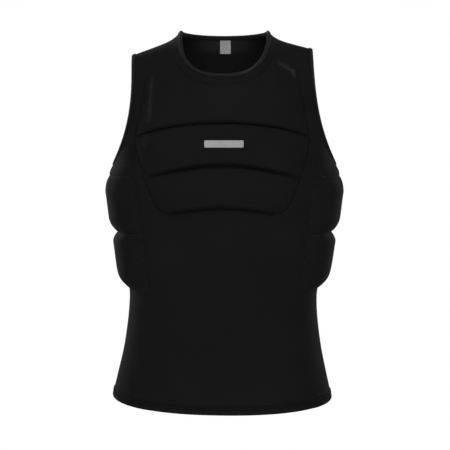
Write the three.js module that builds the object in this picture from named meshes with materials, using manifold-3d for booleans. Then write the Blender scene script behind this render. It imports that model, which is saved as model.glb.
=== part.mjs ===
// A sleeveless impact vest for water sports, in the form that it takes when it is worn.
// Two neoprene panels meet at the sides and on the shoulders. Foam pads are sewn on in
// sections: three on the chest, three on the back and two round each side.
// Millimetres, +Z up. The front faces -Y, and +X is to the right of someone who looks at it.
// The origin is where the vest sits: between the shoulders, at the inner face of the straps.
import * as THREE from "three";
import { mergeVertices } from "three/addons/utils/BufferGeometryUtils.js";
import loadManifold from "manifold-3d";

const manifold = await loadManifold();
manifold.setup();
const { Manifold, Mesh } = manifold;

// Neoprene and the gaps between neighbouring pieces.
const PANEL_WALL = 3;
const PIECE_GAP = 0.5;
const SEAM_GAP = 0.3;

// Shoulders and neck.
const SHOULDER_HALF_WIDTH = 155.5;
const SHOULDER_TIP_DROP = 11.5;
const SHOULDER_TILT = 0.052; // rise of the right shoulder for each millimetre beyond the neck
const SHOULDER_SWAY = -4; // sideways lean of the shoulders
const NECK_HALF_WIDTH = 77;
const NECK_POINT_RISE = 23.6;
const FRONT_NECK_POWERS = { left: 2.5, right: 2.35 }; // how square the scoop's two halves are
const BACK_NECK_POWER = 2.0;
const NECK_FLARE = 0.31; // share of the shoulder's rise that is the flare beside the neck
const NECK_FLARE_POWER = 5; // how close to the neck the flare keeps
const FRONT_NECK_DROP = 80.3;
const BACK_NECK_DROP = 5;
const ARMHOLE_DEPTH = 195.5;

// Body.
const SIDE_LENGTH = 407.5; // underarm to hem, down the side seam
const CHEST_HALF_WIDTH = 200;
const CHEST_FRONT_DEPTH = 118;
const CHEST_BACK_DEPTH = 112;
const FRONT_HEM_DIP = 19;
const BACK_HEM_DIP = 9;
const HEM_TILT = -0.012; // the right end of the hem hangs lower
const HEM_SWAY = -4.5;

// Hem band and bindings.
const HEM_BAND_HEIGHT = 13;
const HEM_BAND_PROUD = 1;
const BINDING_WALL = 1.2;
const BINDING_GAP = 1.2; // between a binding and the panel that it is folded over
const BINDING_REACH = 5; // how far a binding's legs cover the panel

// Foam pads, with their covers.
const CHEST_PAD_THICKNESS = 13;
const SIDE_PAD_THICKNESS = 14;
const PAD_HEM = 2; // thickness where a pad is sewn down
const PAD_SEAT = 0.3; // between a pad and the panel under it
const PAD_HALF_WIDTH = 147;
const PAD_SWAY = -4;
const PAD_NECK_MARGIN = 14.5;
const PAD_SHOULDER_MARGIN = 46;
const BACK_PAD_TOP = -24;
const SEWN_GROOVE = 3; // between one section and the next
const FIRST_GROOVE_Z = -136;
const SECOND_GROOVE_Z = -209;
const THIRD_GROOVE_Z = -281;
const GROOVE_ARC = 21; // how far a groove falls from the middle to the pads' side edge
const BOTTOM_ARC = 14;
const PAD_SIDE_EDGE = 20; // width of the rounded edges
const PAD_TOP_EDGE = 24;
const PAD_BOTTOM_EDGE = 7;
const SIDE_PAD_FRONT_ANGLE = 49; // degrees round the body from the middle of the front
const SIDE_PAD_BACK_ANGLE = 131;
const SIDE_PAD_FRONT_EDGE = 42;

// Badge on the chest and label in the back of the neck, both bare.
const BADGE_WIDTH = 65.5;
const BADGE_HEIGHT = 11.8;
const BADGE_Z = -173;
const BADGE_THICKNESS = 0.9;
const LABEL_WIDTH = 19;
const LABEL_HEIGHT = 23;
const LABEL_X = 1.5;
const LABEL_Z = 0.8;
const LABEL_THICKNESS = 0.6;
const LABEL_GAP = 0.9; // to the inside of the back panel, whose flat facets lie further in

// Shape of the body: how square its sections are, and how the shoulders arch over.
const SECTION_POWER = 2.25;
const ARCH_RISE_POWER = 1.9;
const ARCH_REACH_POWER = 2;
const ARMHOLE_FLARE_POWER = 3;

// Fineness of the facets.
const SHOULDER_COLUMNS = 4;
const NECK_COLUMNS = 16;
const YOKE_ROWS = 11;
const COLUMNS = 2 * SHOULDER_COLUMNS + NECK_COLUMNS;

// Sections from the underarm down to the hem. "down" is a share of SIDE_LENGTH, "width",
// "front" and "back" are shares of the chest's sizes, and "sway" is a share of HEM_SWAY.
const BODY_SECTIONS = [
  { down: 0.0, width: 0.973, front: 1.0, back: 1.0, sway: 0.0 },
  { down: 0.035, width: 1.006, front: 1.0, back: 0.997, sway: 0.0 },
  { down: 0.06, width: 1.004, front: 1.0, back: 0.993, sway: 0.0 },
  { down: 0.11, width: 0.978, front: 0.997, back: 0.98, sway: 0.0 },
  { down: 0.25, width: 0.94, front: 0.97, back: 0.93, sway: 0.0 },
  { down: 0.33, width: 0.908, front: 0.95, back: 0.895, sway: 0.05 },
  { down: 0.44, width: 0.875, front: 0.92, back: 0.86, sway: 0.18 },
  { down: 0.54, width: 0.828, front: 0.9, back: 0.84, sway: 0.4 },
  { down: 0.6, width: 0.825, front: 0.89, back: 0.845, sway: 0.55 },
  { down: 0.68, width: 0.838, front: 0.89, back: 0.87, sway: 0.65 },
  { down: 0.79, width: 0.87, front: 0.905, back: 0.92, sway: 0.75 },
  { down: 0.89, width: 0.914, front: 0.925, back: 0.96, sway: 0.9 },
  { down: 1.0, width: 0.966, front: 0.94, back: 0.99, sway: 1.0 },
];

// How far up the armhole its edge cuts into the full width of the body. "up" is a share of
// the height to the shoulder line, and "cut" a share of the half width.
const ARMHOLE_CUTS = [
  { up: 0.0, cut: 1.0 },
  { up: 0.1, cut: 0.96 },
  { up: 0.25, cut: 0.905 },
  { up: 0.45, cut: 0.867 },
  { up: 0.7, cut: 0.852 },
  { up: 1.0, cut: 0.85 },
];

// Outline of the chest and back padding, from its shoulder corners down to its foot.
// "down" is a share of the padding's height at its side, "width" of PAD_HALF_WIDTH.
const PAD_OUTLINE = [
  { down: 0.0, width: 0.86 },
  { down: 0.1, width: 0.9 },
  { down: 0.26, width: 0.946 },
  { down: 0.45, width: 1.0 },
  { down: 0.56, width: 0.985 },
  { down: 0.75, width: 0.885 },
  { down: 0.88, width: 0.8 },
  { down: 0.95, width: 0.73 },
  { down: 1.0, width: 0.6 },
];

// The upper and lower ends of each side pad's two sections. "drop" is how far below the
// underarm an end lies, "edge" how wide the cover's rounding is, "held" the share of the full
// thickness at which it is sewn down, and "corner" the radius of the corners.
const SIDE_PADS = [
  {
    name: "upper",
    top: { drop: 21, edge: 26, held: 0, corner: 16 },
    bottom: { drop: 117, edge: 28, held: 0.3, corner: 5 },
  },
  {
    name: "lower",
    top: { drop: 120, edge: 16, held: 0.3, corner: 5 },
    bottom: { drop: 217.5, edge: 29, held: 0, corner: 12 },
  },
];

// Depths at which a pad's grid has a row or a column, as shares of its height or width.
const PAD_ROWS = [0, 0.05, 0.16, 0.4, 0.64, 0.86, 1];
const PAD_HALF_COLUMNS = [0, 0.2, 0.4, 0.56, 0.69, 0.84, 0.95, 1];
const SIDE_PAD_ROWS = [0, 0.06, 0.16, 0.4, 0.68, 0.87, 1];
const SIDE_PAD_COLUMNS = [0, 0.08, 0.18, 0.29, 0.4, 0.5, 0.6, 0.71, 0.82, 0.92, 1];
const BADGE_COLUMNS = 8;
const CUT_TOLERANCE = 0.1;

// Levels of the body's rows of facets, as shares of the height from the hem to the underarm.
const BODY_LEVELS = [0, 0.1, 0.2, 0.3, 0.39, 0.46, 0.55, 0.69, 0.83, 0.95, 1];
const BODY_ROWS = BODY_LEVELS.length - 1;

const OTHER_HALF_COLUMNS = PAD_HALF_COLUMNS.slice(1).map((share) => -share);
const PAD_COLUMNS = [...OTHER_HALF_COLUMNS.reverse(), ...PAD_HALF_COLUMNS];
const UNDERARM_Z = -(SHOULDER_TIP_DROP + ARMHOLE_DEPTH);
const HEM_Z = UNDERARM_Z - SIDE_LENGTH;

// The two faces of the body. "run" is the way in which a row's columns are counted.
const FRONT = { sign: -1, run: 1, depth: CHEST_FRONT_DEPTH, column: "front" };
const BACK = { sign: 1, run: -1, depth: CHEST_BACK_DEPTH, column: "back" };

const clamp = THREE.MathUtils.clamp;
const lerp = THREE.MathUtils.lerp;
const radians = THREE.MathUtils.degToRad;
const signedPower = (value, power) => Math.sign(value) * Math.abs(value) ** power;

// A column's value at a place in a table, on a smooth curve through the table's rows.
function along(table, key, place, column) {
  const last = table.length - 1;
  const at = clamp(place, table[0][key], table[last][key]);
  let i = 0;
  while (i < last - 1 && table[i + 1][key] < at) i += 1;
  const slope = (k) => {
    const a = table[Math.max(k - 1, 0)];
    const b = table[Math.min(k + 1, last)];
    return (b[column] - a[column]) / (b[key] - a[key]);
  };
  const span = table[i + 1][key] - table[i][key];
  const u = (at - table[i][key]) / span;
  const rise = table[i + 1][column] - table[i][column];
  const startPull = slope(i) * span - rise;
  const endPull = rise - slope(i + 1) * span;
  return table[i][column] + u * rise + u * (1 - u) * (startPull * (1 - u) + endPull * u);
}

// The lower of two heights, rounded where they cross.
function softLower(a, b, blend) {
  const h = clamp(0.5 + (b - a) / (2 * blend), 0, 1);
  return lerp(b, a, h) - blend * h * (1 - h);
}

// A quarter round that rises from 0 at an edge to 1 at a depth of "width".
function roundedEdge(distance, width) {
  const left = 1 - clamp(distance / width, 0, 1);
  return Math.sqrt(1 - left * left);
}

// The same, but gentler at the edge and from a share "held" of the full height.
function softEdge(distance, width, held) {
  const left = 1 - clamp(distance / width, 0, 1);
  return lerp(1, held, left * left);
}

// Height of the shoulder line over a place across the body. Inside the neck it goes on up,
// as the base of a neck does, so that the panels curve smoothly to the neckline.
function shoulderLine(x) {
  const out = Math.abs(x);
  const rise = NECK_POINT_RISE + SHOULDER_TIP_DROP;
  const run = SHOULDER_HALF_WIDTH - NECK_HALF_WIDTH;
  const tilt = SHOULDER_TILT * Math.sign(x) * Math.max(out - NECK_HALF_WIDTH, 0);
  if (out < NECK_HALF_WIDTH) {
    const slope = (rise / run) * (1 + (NECK_FLARE_POWER - 1) * NECK_FLARE);
    return NECK_POINT_RISE + 0.5 * slope * NECK_HALF_WIDTH * (1 - (out / NECK_HALF_WIDTH) ** 2);
  }
  const left = 1 - (out - NECK_HALF_WIDTH) / run;
  const flare = (1 - NECK_FLARE) * left + NECK_FLARE * left ** NECK_FLARE_POWER;
  return rise * flare - SHOULDER_TIP_DROP + tilt;
}

// Share of the way from the hem's level up to the underarm, and from there to the shoulder.
const shareDown = (z) => clamp((UNDERARM_Z - z) / SIDE_LENGTH, 0, 1);
const shareUp = (z) => clamp((z - UNDERARM_Z) / ARMHOLE_DEPTH, 0, 1);

// Half width of the panels at a height: the side seam's, or the armhole edge's above it.
function halfWidth(z) {
  if (z <= UNDERARM_Z) return CHEST_HALF_WIDTH * along(BODY_SECTIONS, "down", shareDown(z), "width");
  const underarm = CHEST_HALF_WIDTH * BODY_SECTIONS[0].width;
  const flare = (1 - shareUp(z)) ** ARMHOLE_FLARE_POWER;
  return lerp(SHOULDER_HALF_WIDTH, underarm, flare);
}

// Sideways lean of the body's middle at a height.
function sway(z) {
  if (z <= UNDERARM_Z) return HEM_SWAY * along(BODY_SECTIONS, "down", shareDown(z), "sway");
  return SHOULDER_SWAY * shareUp(z) ** 2;
}

function depthBelowArms(face, z) {
  return face.depth * along(BODY_SECTIONS, "down", shareDown(z), face.column);
}

// Share of the way up from the underarm to the shoulder line at a place.
function archShare(x, z) {
  return clamp((z - UNDERARM_Z) / (shoulderLine(x) - UNDERARM_Z), 0, 1);
}

// A point of the body's outer form on one face, at a place across it and a height.
function facePoint(face, x, z) {
  const fromMiddle = Math.abs(x - sway(z));
  if (z <= UNDERARM_Z) {
    const share = Math.min(fromMiddle / halfWidth(z), 1);
    const reach = (1 - share ** SECTION_POWER) ** (1 / SECTION_POWER);
    return new THREE.Vector3(x, face.sign * depthBelowArms(face, z) * reach, z);
  }
  const up = archShare(x, z);
  const fullWidth = halfWidth(z) / along(ARMHOLE_CUTS, "up", up, "cut");
  const across = (1 - Math.min(fromMiddle / fullWidth, 1) ** SECTION_POWER) ** (1 / SECTION_POWER);
  const arch = (1 - up ** ARCH_RISE_POWER) ** (1 / ARCH_REACH_POWER);
  return new THREE.Vector3(x, face.sign * face.depth * arch * across, z);
}

// A point of the outer form below the arms, at an angle round the body from the front.
function ringPoint(angle, z) {
  const power = 2 / SECTION_POWER;
  const face = Math.cos(angle) >= 0 ? FRONT : BACK;
  const x = sway(z) + halfWidth(z) * signedPower(Math.sin(angle), power);
  return new THREE.Vector3(x, -depthBelowArms(face, z) * signedPower(Math.cos(angle), power), z);
}

// How far outside the outer form a point is, from below 0 inside to above 0 outside.
function outside(face, p) {
  const up = Math.max((p.z - UNDERARM_Z) / (shoulderLine(p.x) - UNDERARM_Z), 0);
  const fullWidth = halfWidth(p.z) / along(ARMHOLE_CUTS, "up", up, "cut");
  const spread = 1 - (Math.abs(p.x - sway(p.z)) / fullWidth) ** SECTION_POWER;
  const deep = (Math.abs(p.y) / depthBelowArms(face, p.z)) ** ARCH_REACH_POWER;
  return deep + (up ** ARCH_RISE_POWER - 1) * signedPower(spread, ARCH_REACH_POWER / SECTION_POWER);
}

// The outward direction of the outer form at a point of it.
function outward(face, point) {
  const step = 0.05;
  const change = (axis) => {
    const after = point.clone();
    const before = point.clone();
    after[axis] += step;
    before[axis] -= step;
    return outside(face, after) - outside(face, before);
  };
  return new THREE.Vector3(change("x"), change("y"), change("z")).normalize();
}

// A point at a height over the outer form.
function raised(face, point, height) {
  return point.clone().addScaledVector(outward(face, point), height);
}

// Keeps a panel's edge off the plane in which front and back meet.
function keepOffSeam(face, point) {
  const y = Math.max(face.sign * point.y, SEAM_GAP / 2);
  return new THREE.Vector3(point.x, face.sign * y, point.z);
}

// One solid from a grid of outer points and a like grid of inner points.
function layeredSolid(outer, inner) {
  const rows = outer.length;
  const columns = outer[0].length;
  const points = [...outer.flat(), ...inner.flat()];
  const under = rows * columns;
  const at = (r, c) => r * columns + c;
  const index = [];
  const quad = (a, b, c, d) => index.push(a, b, c, a, c, d);
  for (let r = 0; r < rows - 1; r += 1) {
    for (let c = 0; c < columns - 1; c += 1) {
      quad(at(r, c), at(r, c + 1), at(r + 1, c + 1), at(r + 1, c));
      quad(under + at(r, c), under + at(r + 1, c), under + at(r + 1, c + 1), under + at(r, c + 1));
    }
  }
  const rim = [];
  for (let c = 0; c < columns - 1; c += 1) rim.push(at(0, c));
  for (let r = 0; r < rows - 1; r += 1) rim.push(at(r, columns - 1));
  for (let c = columns - 1; c > 0; c -= 1) rim.push(at(rows - 1, c));
  for (let r = rows - 1; r > 0; r -= 1) rim.push(at(r, 0));
  rim.forEach((a, i) => {
    const b = rim[(i + 1) % rim.length];
    quad(a, under + a, under + b, b);
  });
  return solidGeometry(points, index);
}

// One solid ring from a closed row of like sections, each a closed outline of points.
function ringSolid(sections) {
  const corners = sections[0].length;
  const index = [];
  sections.forEach((_, s) => {
    const next = (s + 1) % sections.length;
    for (let k = 0; k < corners; k += 1) {
      const l = (k + 1) % corners;
      const a = s * corners + k;
      const b = next * corners + k;
      const c = next * corners + l;
      const d = s * corners + l;
      index.push(a, b, c, a, c, d);
    }
  });
  return solidGeometry(sections.flat(), index);
}

function solidGeometry(points, index) {
  const geometry = new THREE.BufferGeometry().setFromPoints(points);
  geometry.setIndex(index);
  geometry.computeVertexNormals();
  return geometry;
}

// The same geometry as a solid that can be cut.
function asManifold(geometry) {
  const merged = mergeVertices(new THREE.BufferGeometry().copy(geometry).deleteAttribute("normal"), 1e-4);
  return new Manifold(
    new Mesh({
      numProp: 3,
      vertProperties: merged.getAttribute("position").array,
      triVerts: new Uint32Array(merged.getIndex().array),
    }),
  );
}

// A cut solid as a geometry again, without the slivers that a cut leaves.
function asGeometry(solid) {
  const mesh = solid.simplify(CUT_TOLERANCE).getMesh();
  const geometry = new THREE.BufferGeometry();
  geometry.setAttribute("position", new THREE.BufferAttribute(mesh.vertProperties, 3));
  geometry.setIndex(new THREE.BufferAttribute(mesh.triVerts, 1));
  geometry.computeVertexNormals();
  return geometry;
}

const hemLine = (face, angle, x) => {
  const dip = face === FRONT ? FRONT_HEM_DIP : BACK_HEM_DIP;
  return HEM_Z - dip * Math.abs(Math.cos(angle)) + HEM_TILT * x;
};

function neckPower(face, x) {
  if (face === BACK) return BACK_NECK_POWER;
  return x < 0 ? FRONT_NECK_POWERS.left : FRONT_NECK_POWERS.right;
}

// Place across the body and height of a panel's top edge: shoulder, neckline, shoulder.
function topEdge(face, column) {
  const fromEnd = Math.min(column, COLUMNS - column);
  const side = face.run * (column < COLUMNS / 2 ? -1 : 1);
  if (fromEnd <= SHOULDER_COLUMNS) {
    const tip = SHOULDER_SWAY + side * SHOULDER_HALF_WIDTH;
    const x = lerp(tip, side * NECK_HALF_WIDTH, fromEnd / SHOULDER_COLUMNS);
    return { x, z: shoulderLine(x) };
  }
  const share = (column - SHOULDER_COLUMNS) / NECK_COLUMNS;
  const angle = (Math.PI * (1 - Math.cos(Math.PI * share))) / 2;
  const drop = face === FRONT ? FRONT_NECK_DROP : BACK_NECK_DROP;
  const power = neckPower(face, -face.run * Math.cos(angle));
  const x = -face.run * NECK_HALF_WIDTH * signedPower(Math.cos(angle), 2 / power);
  return { x, z: NECK_POINT_RISE - drop * signedPower(Math.sin(angle), 2 / power) };
}

// Armhole edge of a panel on one side, at a share of its height.
function armholeEdge(side, share) {
  const tip = SHOULDER_SWAY + side * SHOULDER_HALF_WIDTH;
  const z = lerp(UNDERARM_Z, shoulderLine(tip), share);
  const x = lerp(sway(z) + side * halfWidth(z), tip, share ** 6);
  return { x, z };
}

// A panel as rows of points from its hem up, with the outward direction at each.
function panelGrid(face) {
  const rows = [];
  const firstAngle = face === FRONT ? -Math.PI / 2 : Math.PI / 2;
  const bottomOf = (angle) => {
    const level = ringPoint(angle, HEM_Z);
    return hemLine(face, angle, level.x) + HEM_BAND_HEIGHT + SEAM_GAP;
  };
  BODY_LEVELS.forEach((level) => {
    const row = [];
    for (let c = 0; c <= COLUMNS; c += 1) {
      const angle = firstAngle + (Math.PI * c) / COLUMNS;
      row.push(ringPoint(angle, lerp(bottomOf(angle), UNDERARM_Z, level)));
    }
    rows.push(row);
  });
  const start = rows[BODY_ROWS];
  for (let r = 1; r <= YOKE_ROWS; r += 1) {
    const up = (1 - Math.cos((Math.PI * r) / YOKE_ROWS)) / 2;
    const left = armholeEdge(-face.run, up);
    const right = armholeEdge(face.run, up);
    const row = [];
    for (let c = 0; c <= COLUMNS; c += 1) {
      const s = c / COLUMNS;
      const top = topEdge(face, c);
      const corner = (key) =>
        (1 - up) * lerp(start[0][key], start[COLUMNS][key], s) +
        up * lerp(topEdge(face, 0)[key], topEdge(face, COLUMNS)[key], s);
      const place = (key) =>
        lerp(start[c][key], top[key], up) + lerp(left[key], right[key], s) - corner(key);
      row.push(facePoint(face, place("x"), place("z")));
    }
    rows.push(row);
  }
  return rows.map((row) => row.map((point) => ({ point, normal: outward(face, point) })));
}

const overPanel = ({ point, normal }, height) => point.clone().addScaledVector(normal, height);

function panelSolid(face, grid) {
  const layer = (height) => grid.map((row) => row.map((node) => keepOffSeam(face, overPanel(node, height))));
  return layeredSolid(layer(0), layer(-PANEL_WALL));
}

// Everything from just over a panel's outer facets to a little past the seam plane. Cutting
// it from a pad seats the pad on the panel.
function seatCutter(face, grid) {
  const over = grid.map((row) => row.map((node) => overPanel(node, PAD_SEAT)));
  const behind = grid.map((row) => row.map(({ point }) => new THREE.Vector3(point.x, -face.sign * 5, point.z)));
  return asManifold(layeredSolid(over, behind));
}

// A binding folded over a panel's edge at one node of it. "past" points out of the edge.
function bindingSection(edge, past) {
  const corner = (reach, over) => overPanel(edge, over).addScaledVector(past, reach);
  const outerLeg = BINDING_GAP;
  const innerLeg = -PANEL_WALL - BINDING_GAP;
  const fold = BINDING_GAP + BINDING_WALL;
  return [
    corner(-BINDING_REACH, outerLeg),
    corner(BINDING_GAP, outerLeg),
    corner(BINDING_GAP, innerLeg),
    corner(-BINDING_REACH, innerLeg),
    corner(-BINDING_REACH, innerLeg - BINDING_WALL),
    corner(BINDING_GAP, innerLeg - BINDING_WALL),
    corner(fold, innerLeg),
    corner(fold, outerLeg),
    corner(BINDING_GAP, outerLeg + BINDING_WALL),
    corner(-BINDING_REACH, outerLeg + BINDING_WALL),
  ];
}

// The binding of a closed edge, whose nodes run so that the panel is on their left.
function bindingSolid(edge) {
  const sections = edge.map((node, i) => {
    const before = edge[(i + edge.length - 1) % edge.length].point;
    const after = edge[(i + 1) % edge.length].point;
    const past = after.clone().sub(before).cross(node.normal).normalize();
    return bindingSection(node, past);
  });
  return ringSolid(sections);
}

// The nodes round the neck: along the back from left to right, then along the front. Where
// the two panels meet, the back's node serves for both.
function neckEdge(front, back) {
  const top = BODY_ROWS + YOKE_ROWS;
  const ends = COLUMNS - SHOULDER_COLUMNS;
  const behind = back[top].slice(SHOULDER_COLUMNS, ends + 1).reverse();
  return [...behind, ...front[top].slice(SHOULDER_COLUMNS + 1, ends).reverse()];
}

// The nodes round an armhole: up the front's edge and down the back's, or the other way
// round on the left.
function armholeEdgeNodes(front, back, side) {
  const frontColumn = side > 0 ? COLUMNS : 0;
  const up = front.slice(BODY_ROWS).map((row) => row[frontColumn]);
  const down = back.slice(BODY_ROWS + 1, -1).map((row) => row[COLUMNS - frontColumn]);
  const round = [...up, ...down.reverse()];
  return side > 0 ? round : round.reverse();
}

// The turned-up hem, one ring under the lower edges of both panels.
function hemBandSolid(front, back) {
  const nodes = [...front[0], ...back[0].slice(1, -1)];
  const below = [...front[1], ...back[1].slice(1, -1)];
  const sections = nodes.map((node, i) => {
    const down = node.point.clone().sub(below[i].point).normalize();
    const corner = (drop, over) => overPanel(node, over).addScaledVector(down, drop);
    const foot = SEAM_GAP + HEM_BAND_HEIGHT;
    const bevel = HEM_BAND_PROUD + PANEL_WALL / 4;
    return [
      corner(SEAM_GAP, HEM_BAND_PROUD),
      corner(SEAM_GAP, -PANEL_WALL - HEM_BAND_PROUD),
      corner(foot - bevel, -PANEL_WALL - HEM_BAND_PROUD),
      corner(foot, -PANEL_WALL + bevel - HEM_BAND_PROUD),
      corner(foot, HEM_BAND_PROUD - bevel),
      corner(foot - bevel, HEM_BAND_PROUD),
    ];
  });
  return ringSolid(sections);
}

// The curved lines between the sections of the chest and back padding.
const grooveLine = (middle, arc) => (x) => middle - arc * ((x - PAD_SWAY) / PAD_HALF_WIDTH) ** 2;
const firstGroove = grooveLine(FIRST_GROOVE_Z, GROOVE_ARC);
const secondGroove = grooveLine(SECOND_GROOVE_Z, (GROOVE_ARC * PAD_HALF_WIDTH ** 2) / (0.89 * PAD_HALF_WIDTH) ** 2);
const footLine = grooveLine(THIRD_GROOVE_Z, (BOTTOM_ARC * PAD_HALF_WIDTH ** 2) / (0.7 * PAD_HALF_WIDTH) ** 2);

// The scooped top edge of the padding, which follows the neckline and the shoulders.
function chestPadTop(x) {
  const wide = NECK_HALF_WIDTH + PAD_NECK_MARGIN;
  const deep = FRONT_NECK_DROP + PAD_NECK_MARGIN;
  const share = Math.min(Math.abs(x) / wide, 1);
  const power = neckPower(FRONT, x);
  const neck = NECK_POINT_RISE - deep * (1 - share ** power) ** (1 / power);
  return softLower(neck, shoulderLine(x) - PAD_SHOULDER_MARGIN, PAD_NECK_MARGIN);
}

function backPadTop(x) {
  return softLower(BACK_PAD_TOP, shoulderLine(x) - PAD_SHOULDER_MARGIN, PAD_NECK_MARGIN);
}

// Half width of the chest and back padding at a height.
function padHalfWidth(z) {
  const top = shoulderLine(PAD_HALF_WIDTH) - PAD_SHOULDER_MARGIN;
  const foot = THIRD_GROOVE_Z - BOTTOM_ARC;
  const down = clamp((top - z) / (top - foot), 0, 1);
  return PAD_HALF_WIDTH * along(PAD_OUTLINE, "down", down, "width");
}

// Height of a padded section's cover over the form. It is rounded at its edges, and
// fullest low down, where it rolls over the groove below.
function padHeight(section, x, z) {
  const bottom = section.bottom(x);
  const top = section.top(x);
  const fromSide = padHalfWidth(z) - Math.abs(x - PAD_SWAY);
  const fullness = lerp(1, 0.7, clamp((z - bottom) / (top - bottom), 0, 1));
  const rise =
    roundedEdge(fromSide, PAD_SIDE_EDGE) *
    roundedEdge(z - bottom, PAD_BOTTOM_EDGE) *
    roundedEdge(top - z, PAD_TOP_EDGE);
  return PAD_HEM + (CHEST_PAD_THICKNESS - PAD_HEM) * fullness * rise;
}

// Place across the body and height of a pad's grid point.
function padPlace(face, section, share, up) {
  let x = PAD_SWAY;
  let z = section.bottom(x);
  for (let pass = 0; pass < 6; pass += 1) {
    z = lerp(section.bottom(x), section.top(x), up);
    x = PAD_SWAY + face.run * share * padHalfWidth(z);
  }
  return { x, z };
}

function padSolid(face, section) {
  const layer = (heightAt) =>
    PAD_ROWS.map((up) =>
      PAD_COLUMNS.map((share) => {
        const { x, z } = padPlace(face, section, share, up);
        return raised(face, facePoint(face, x, z), heightAt(x, z));
      }),
    );
  const blank = layeredSolid(layer((x, z) => padHeight(section, x, z)), layer(() => -PANEL_WALL / 2));
  return asGeometry(asManifold(blank).subtract(seats[face.column]));
}

// A side pad wraps round the body under the arm, between two angles and two heights.
function sidePadSolid(side, ends) {
  const top = { ...ends.top, z: UNDERARM_Z - ends.top.drop };
  const bottom = { ...ends.bottom, z: UNDERARM_Z - ends.bottom.drop };
  const cornerInset = (end, z) => end.corner * (1 - roundedEdge(Math.abs(z - end.z), end.corner));
  const place = (across, up) => {
    const z = lerp(bottom.z, top.z, up);
    const inset = Math.max(cornerInset(top, z), cornerInset(bottom, z)) / CHEST_FRONT_DEPTH;
    const first = radians(SIDE_PAD_FRONT_ANGLE) + inset;
    const last = radians(SIDE_PAD_BACK_ANGLE) - inset;
    const angle = side > 0 ? lerp(first, last, across) : 2 * Math.PI - lerp(last, first, across);
    const fromSide = Math.min(across, 1 - across) * (last - first) * CHEST_FRONT_DEPTH;
    const rise =
      roundedEdge(fromSide, SIDE_PAD_FRONT_EDGE) *
      softEdge(z - bottom.z, bottom.edge, bottom.held) *
      softEdge(top.z - z, top.edge, top.held);
    return { angle, z, height: PAD_HEM + (SIDE_PAD_THICKNESS - PAD_HEM) * rise };
  };
  const layer = (full) =>
    SIDE_PAD_ROWS.map((up) =>
      SIDE_PAD_COLUMNS.map((across) => {
        const { angle, z, height } = place(across, up);
        const face = Math.cos(angle) >= 0 ? FRONT : BACK;
        return raised(face, ringPoint(angle, z), full ? height : -PANEL_WALL / 2);
      }),
    );
  const blank = asManifold(layeredSolid(layer(true), layer(false)));
  return asGeometry(blank.subtract(seats.front).subtract(seats.back));
}

// The bare badge, a thin plate that follows the middle chest section.
function badgeSolid(section) {
  const layer = (thickness) =>
    [-0.5, 0.5].map((up) => {
      const row = [];
      for (let c = 0; c <= BADGE_COLUMNS; c += 1) {
        const x = BADGE_WIDTH * (c / BADGE_COLUMNS - 0.5);
        const z = BADGE_Z + up * BADGE_HEIGHT;
        const height = padHeight(section, x, z) + PIECE_GAP + thickness;
        row.push(raised(FRONT, facePoint(FRONT, x, z), height));
      }
      return row;
    });
  return layeredSolid(layer(BADGE_THICKNESS), layer(0));
}

// The bare label, flat against the inside of the back panel below the neckline.
function labelSolid() {
  const layer = (depth) =>
    [-0.5, 0, 0.5].map((up) =>
      [0.5, 0, -0.5].map((across) => {
        const point = facePoint(BACK, LABEL_X + across * LABEL_WIDTH, LABEL_Z + up * LABEL_HEIGHT);
        return raised(BACK, point, -PANEL_WALL - LABEL_GAP - depth);
      }),
    );
  return layeredSolid(layer(0), layer(LABEL_THICKNESS));
}

const finish = (color, roughness) => new THREE.MeshStandardMaterial({ color, roughness, metalness: 0 });
const neoprene = finish(0x161616, 0.85);
const padCover = finish(0x181818, 0.8);
const bindingTape = finish(0x242424, 0.75);
const badgePrint = finish(0x858585, 0.55);
const labelPrint = finish(0x9a9a9a, 0.6);

const vest = new THREE.Group();

function add(name, geometry, material) {
  const mesh = new THREE.Mesh(geometry, material);
  mesh.name = name;
  vest.add(mesh);
}

const frontGrid = panelGrid(FRONT);
const backGrid = panelGrid(BACK);
const seats = { front: seatCutter(FRONT, frontGrid), back: seatCutter(BACK, backGrid) };
add("front_panel", panelSolid(FRONT, frontGrid), neoprene);
add("back_panel", panelSolid(BACK, backGrid), neoprene);

const gap = SEWN_GROOVE;
const sectionsUnder = (top) => [
  { name: "upper", top, bottom: (x) => firstGroove(x) + gap / 2 },
  { name: "middle", top: (x) => firstGroove(x) - gap / 2, bottom: (x) => secondGroove(x) + gap / 2 },
  { name: "lower", top: (x) => secondGroove(x) - gap / 2, bottom: footLine },
];
const chestSections = sectionsUnder(chestPadTop);
chestSections.forEach((section) => add(`chest_pad_${section.name}`, padSolid(FRONT, section), padCover));
sectionsUnder(backPadTop).forEach((section) => {
  add(`back_pad_${section.name}`, padSolid(BACK, section), padCover);
});

[
  { name: "left", side: -1 },
  { name: "right", side: 1 },
].forEach(({ name, side }) => {
  SIDE_PADS.forEach((pad) => add(`side_pad_${pad.name}_${name}`, sidePadSolid(side, pad), padCover));
  add(`armhole_binding_${name}`, bindingSolid(armholeEdgeNodes(frontGrid, backGrid, side)), bindingTape);
});

add("neck_binding", bindingSolid(neckEdge(frontGrid, backGrid)), bindingTape);
add("hem_band", hemBandSolid(frontGrid, backGrid), neoprene);
add("chest_badge", badgeSolid(chestSections[1]), badgePrint);
add("neck_label", labelSolid(), labelPrint);

export default vest;
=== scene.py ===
"""Looks of a black sleeveless impact vest, padded with foam and shown in its worn form.

The vest is two neoprene panels with foam pads sewn on in sections, bound at the neck and
armholes and turned up at the hem. Sizes are millimetres until a mesh is made, and metres
in Blender. The front faces -Y and +Z is up.
"""

from __future__ import annotations

import logging
import math
from dataclasses import dataclass, field
from enum import Enum
from typing import Callable, Sequence

import bpy
import numpy as np
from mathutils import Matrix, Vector
from mathutils.bvhtree import BVHTree

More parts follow.
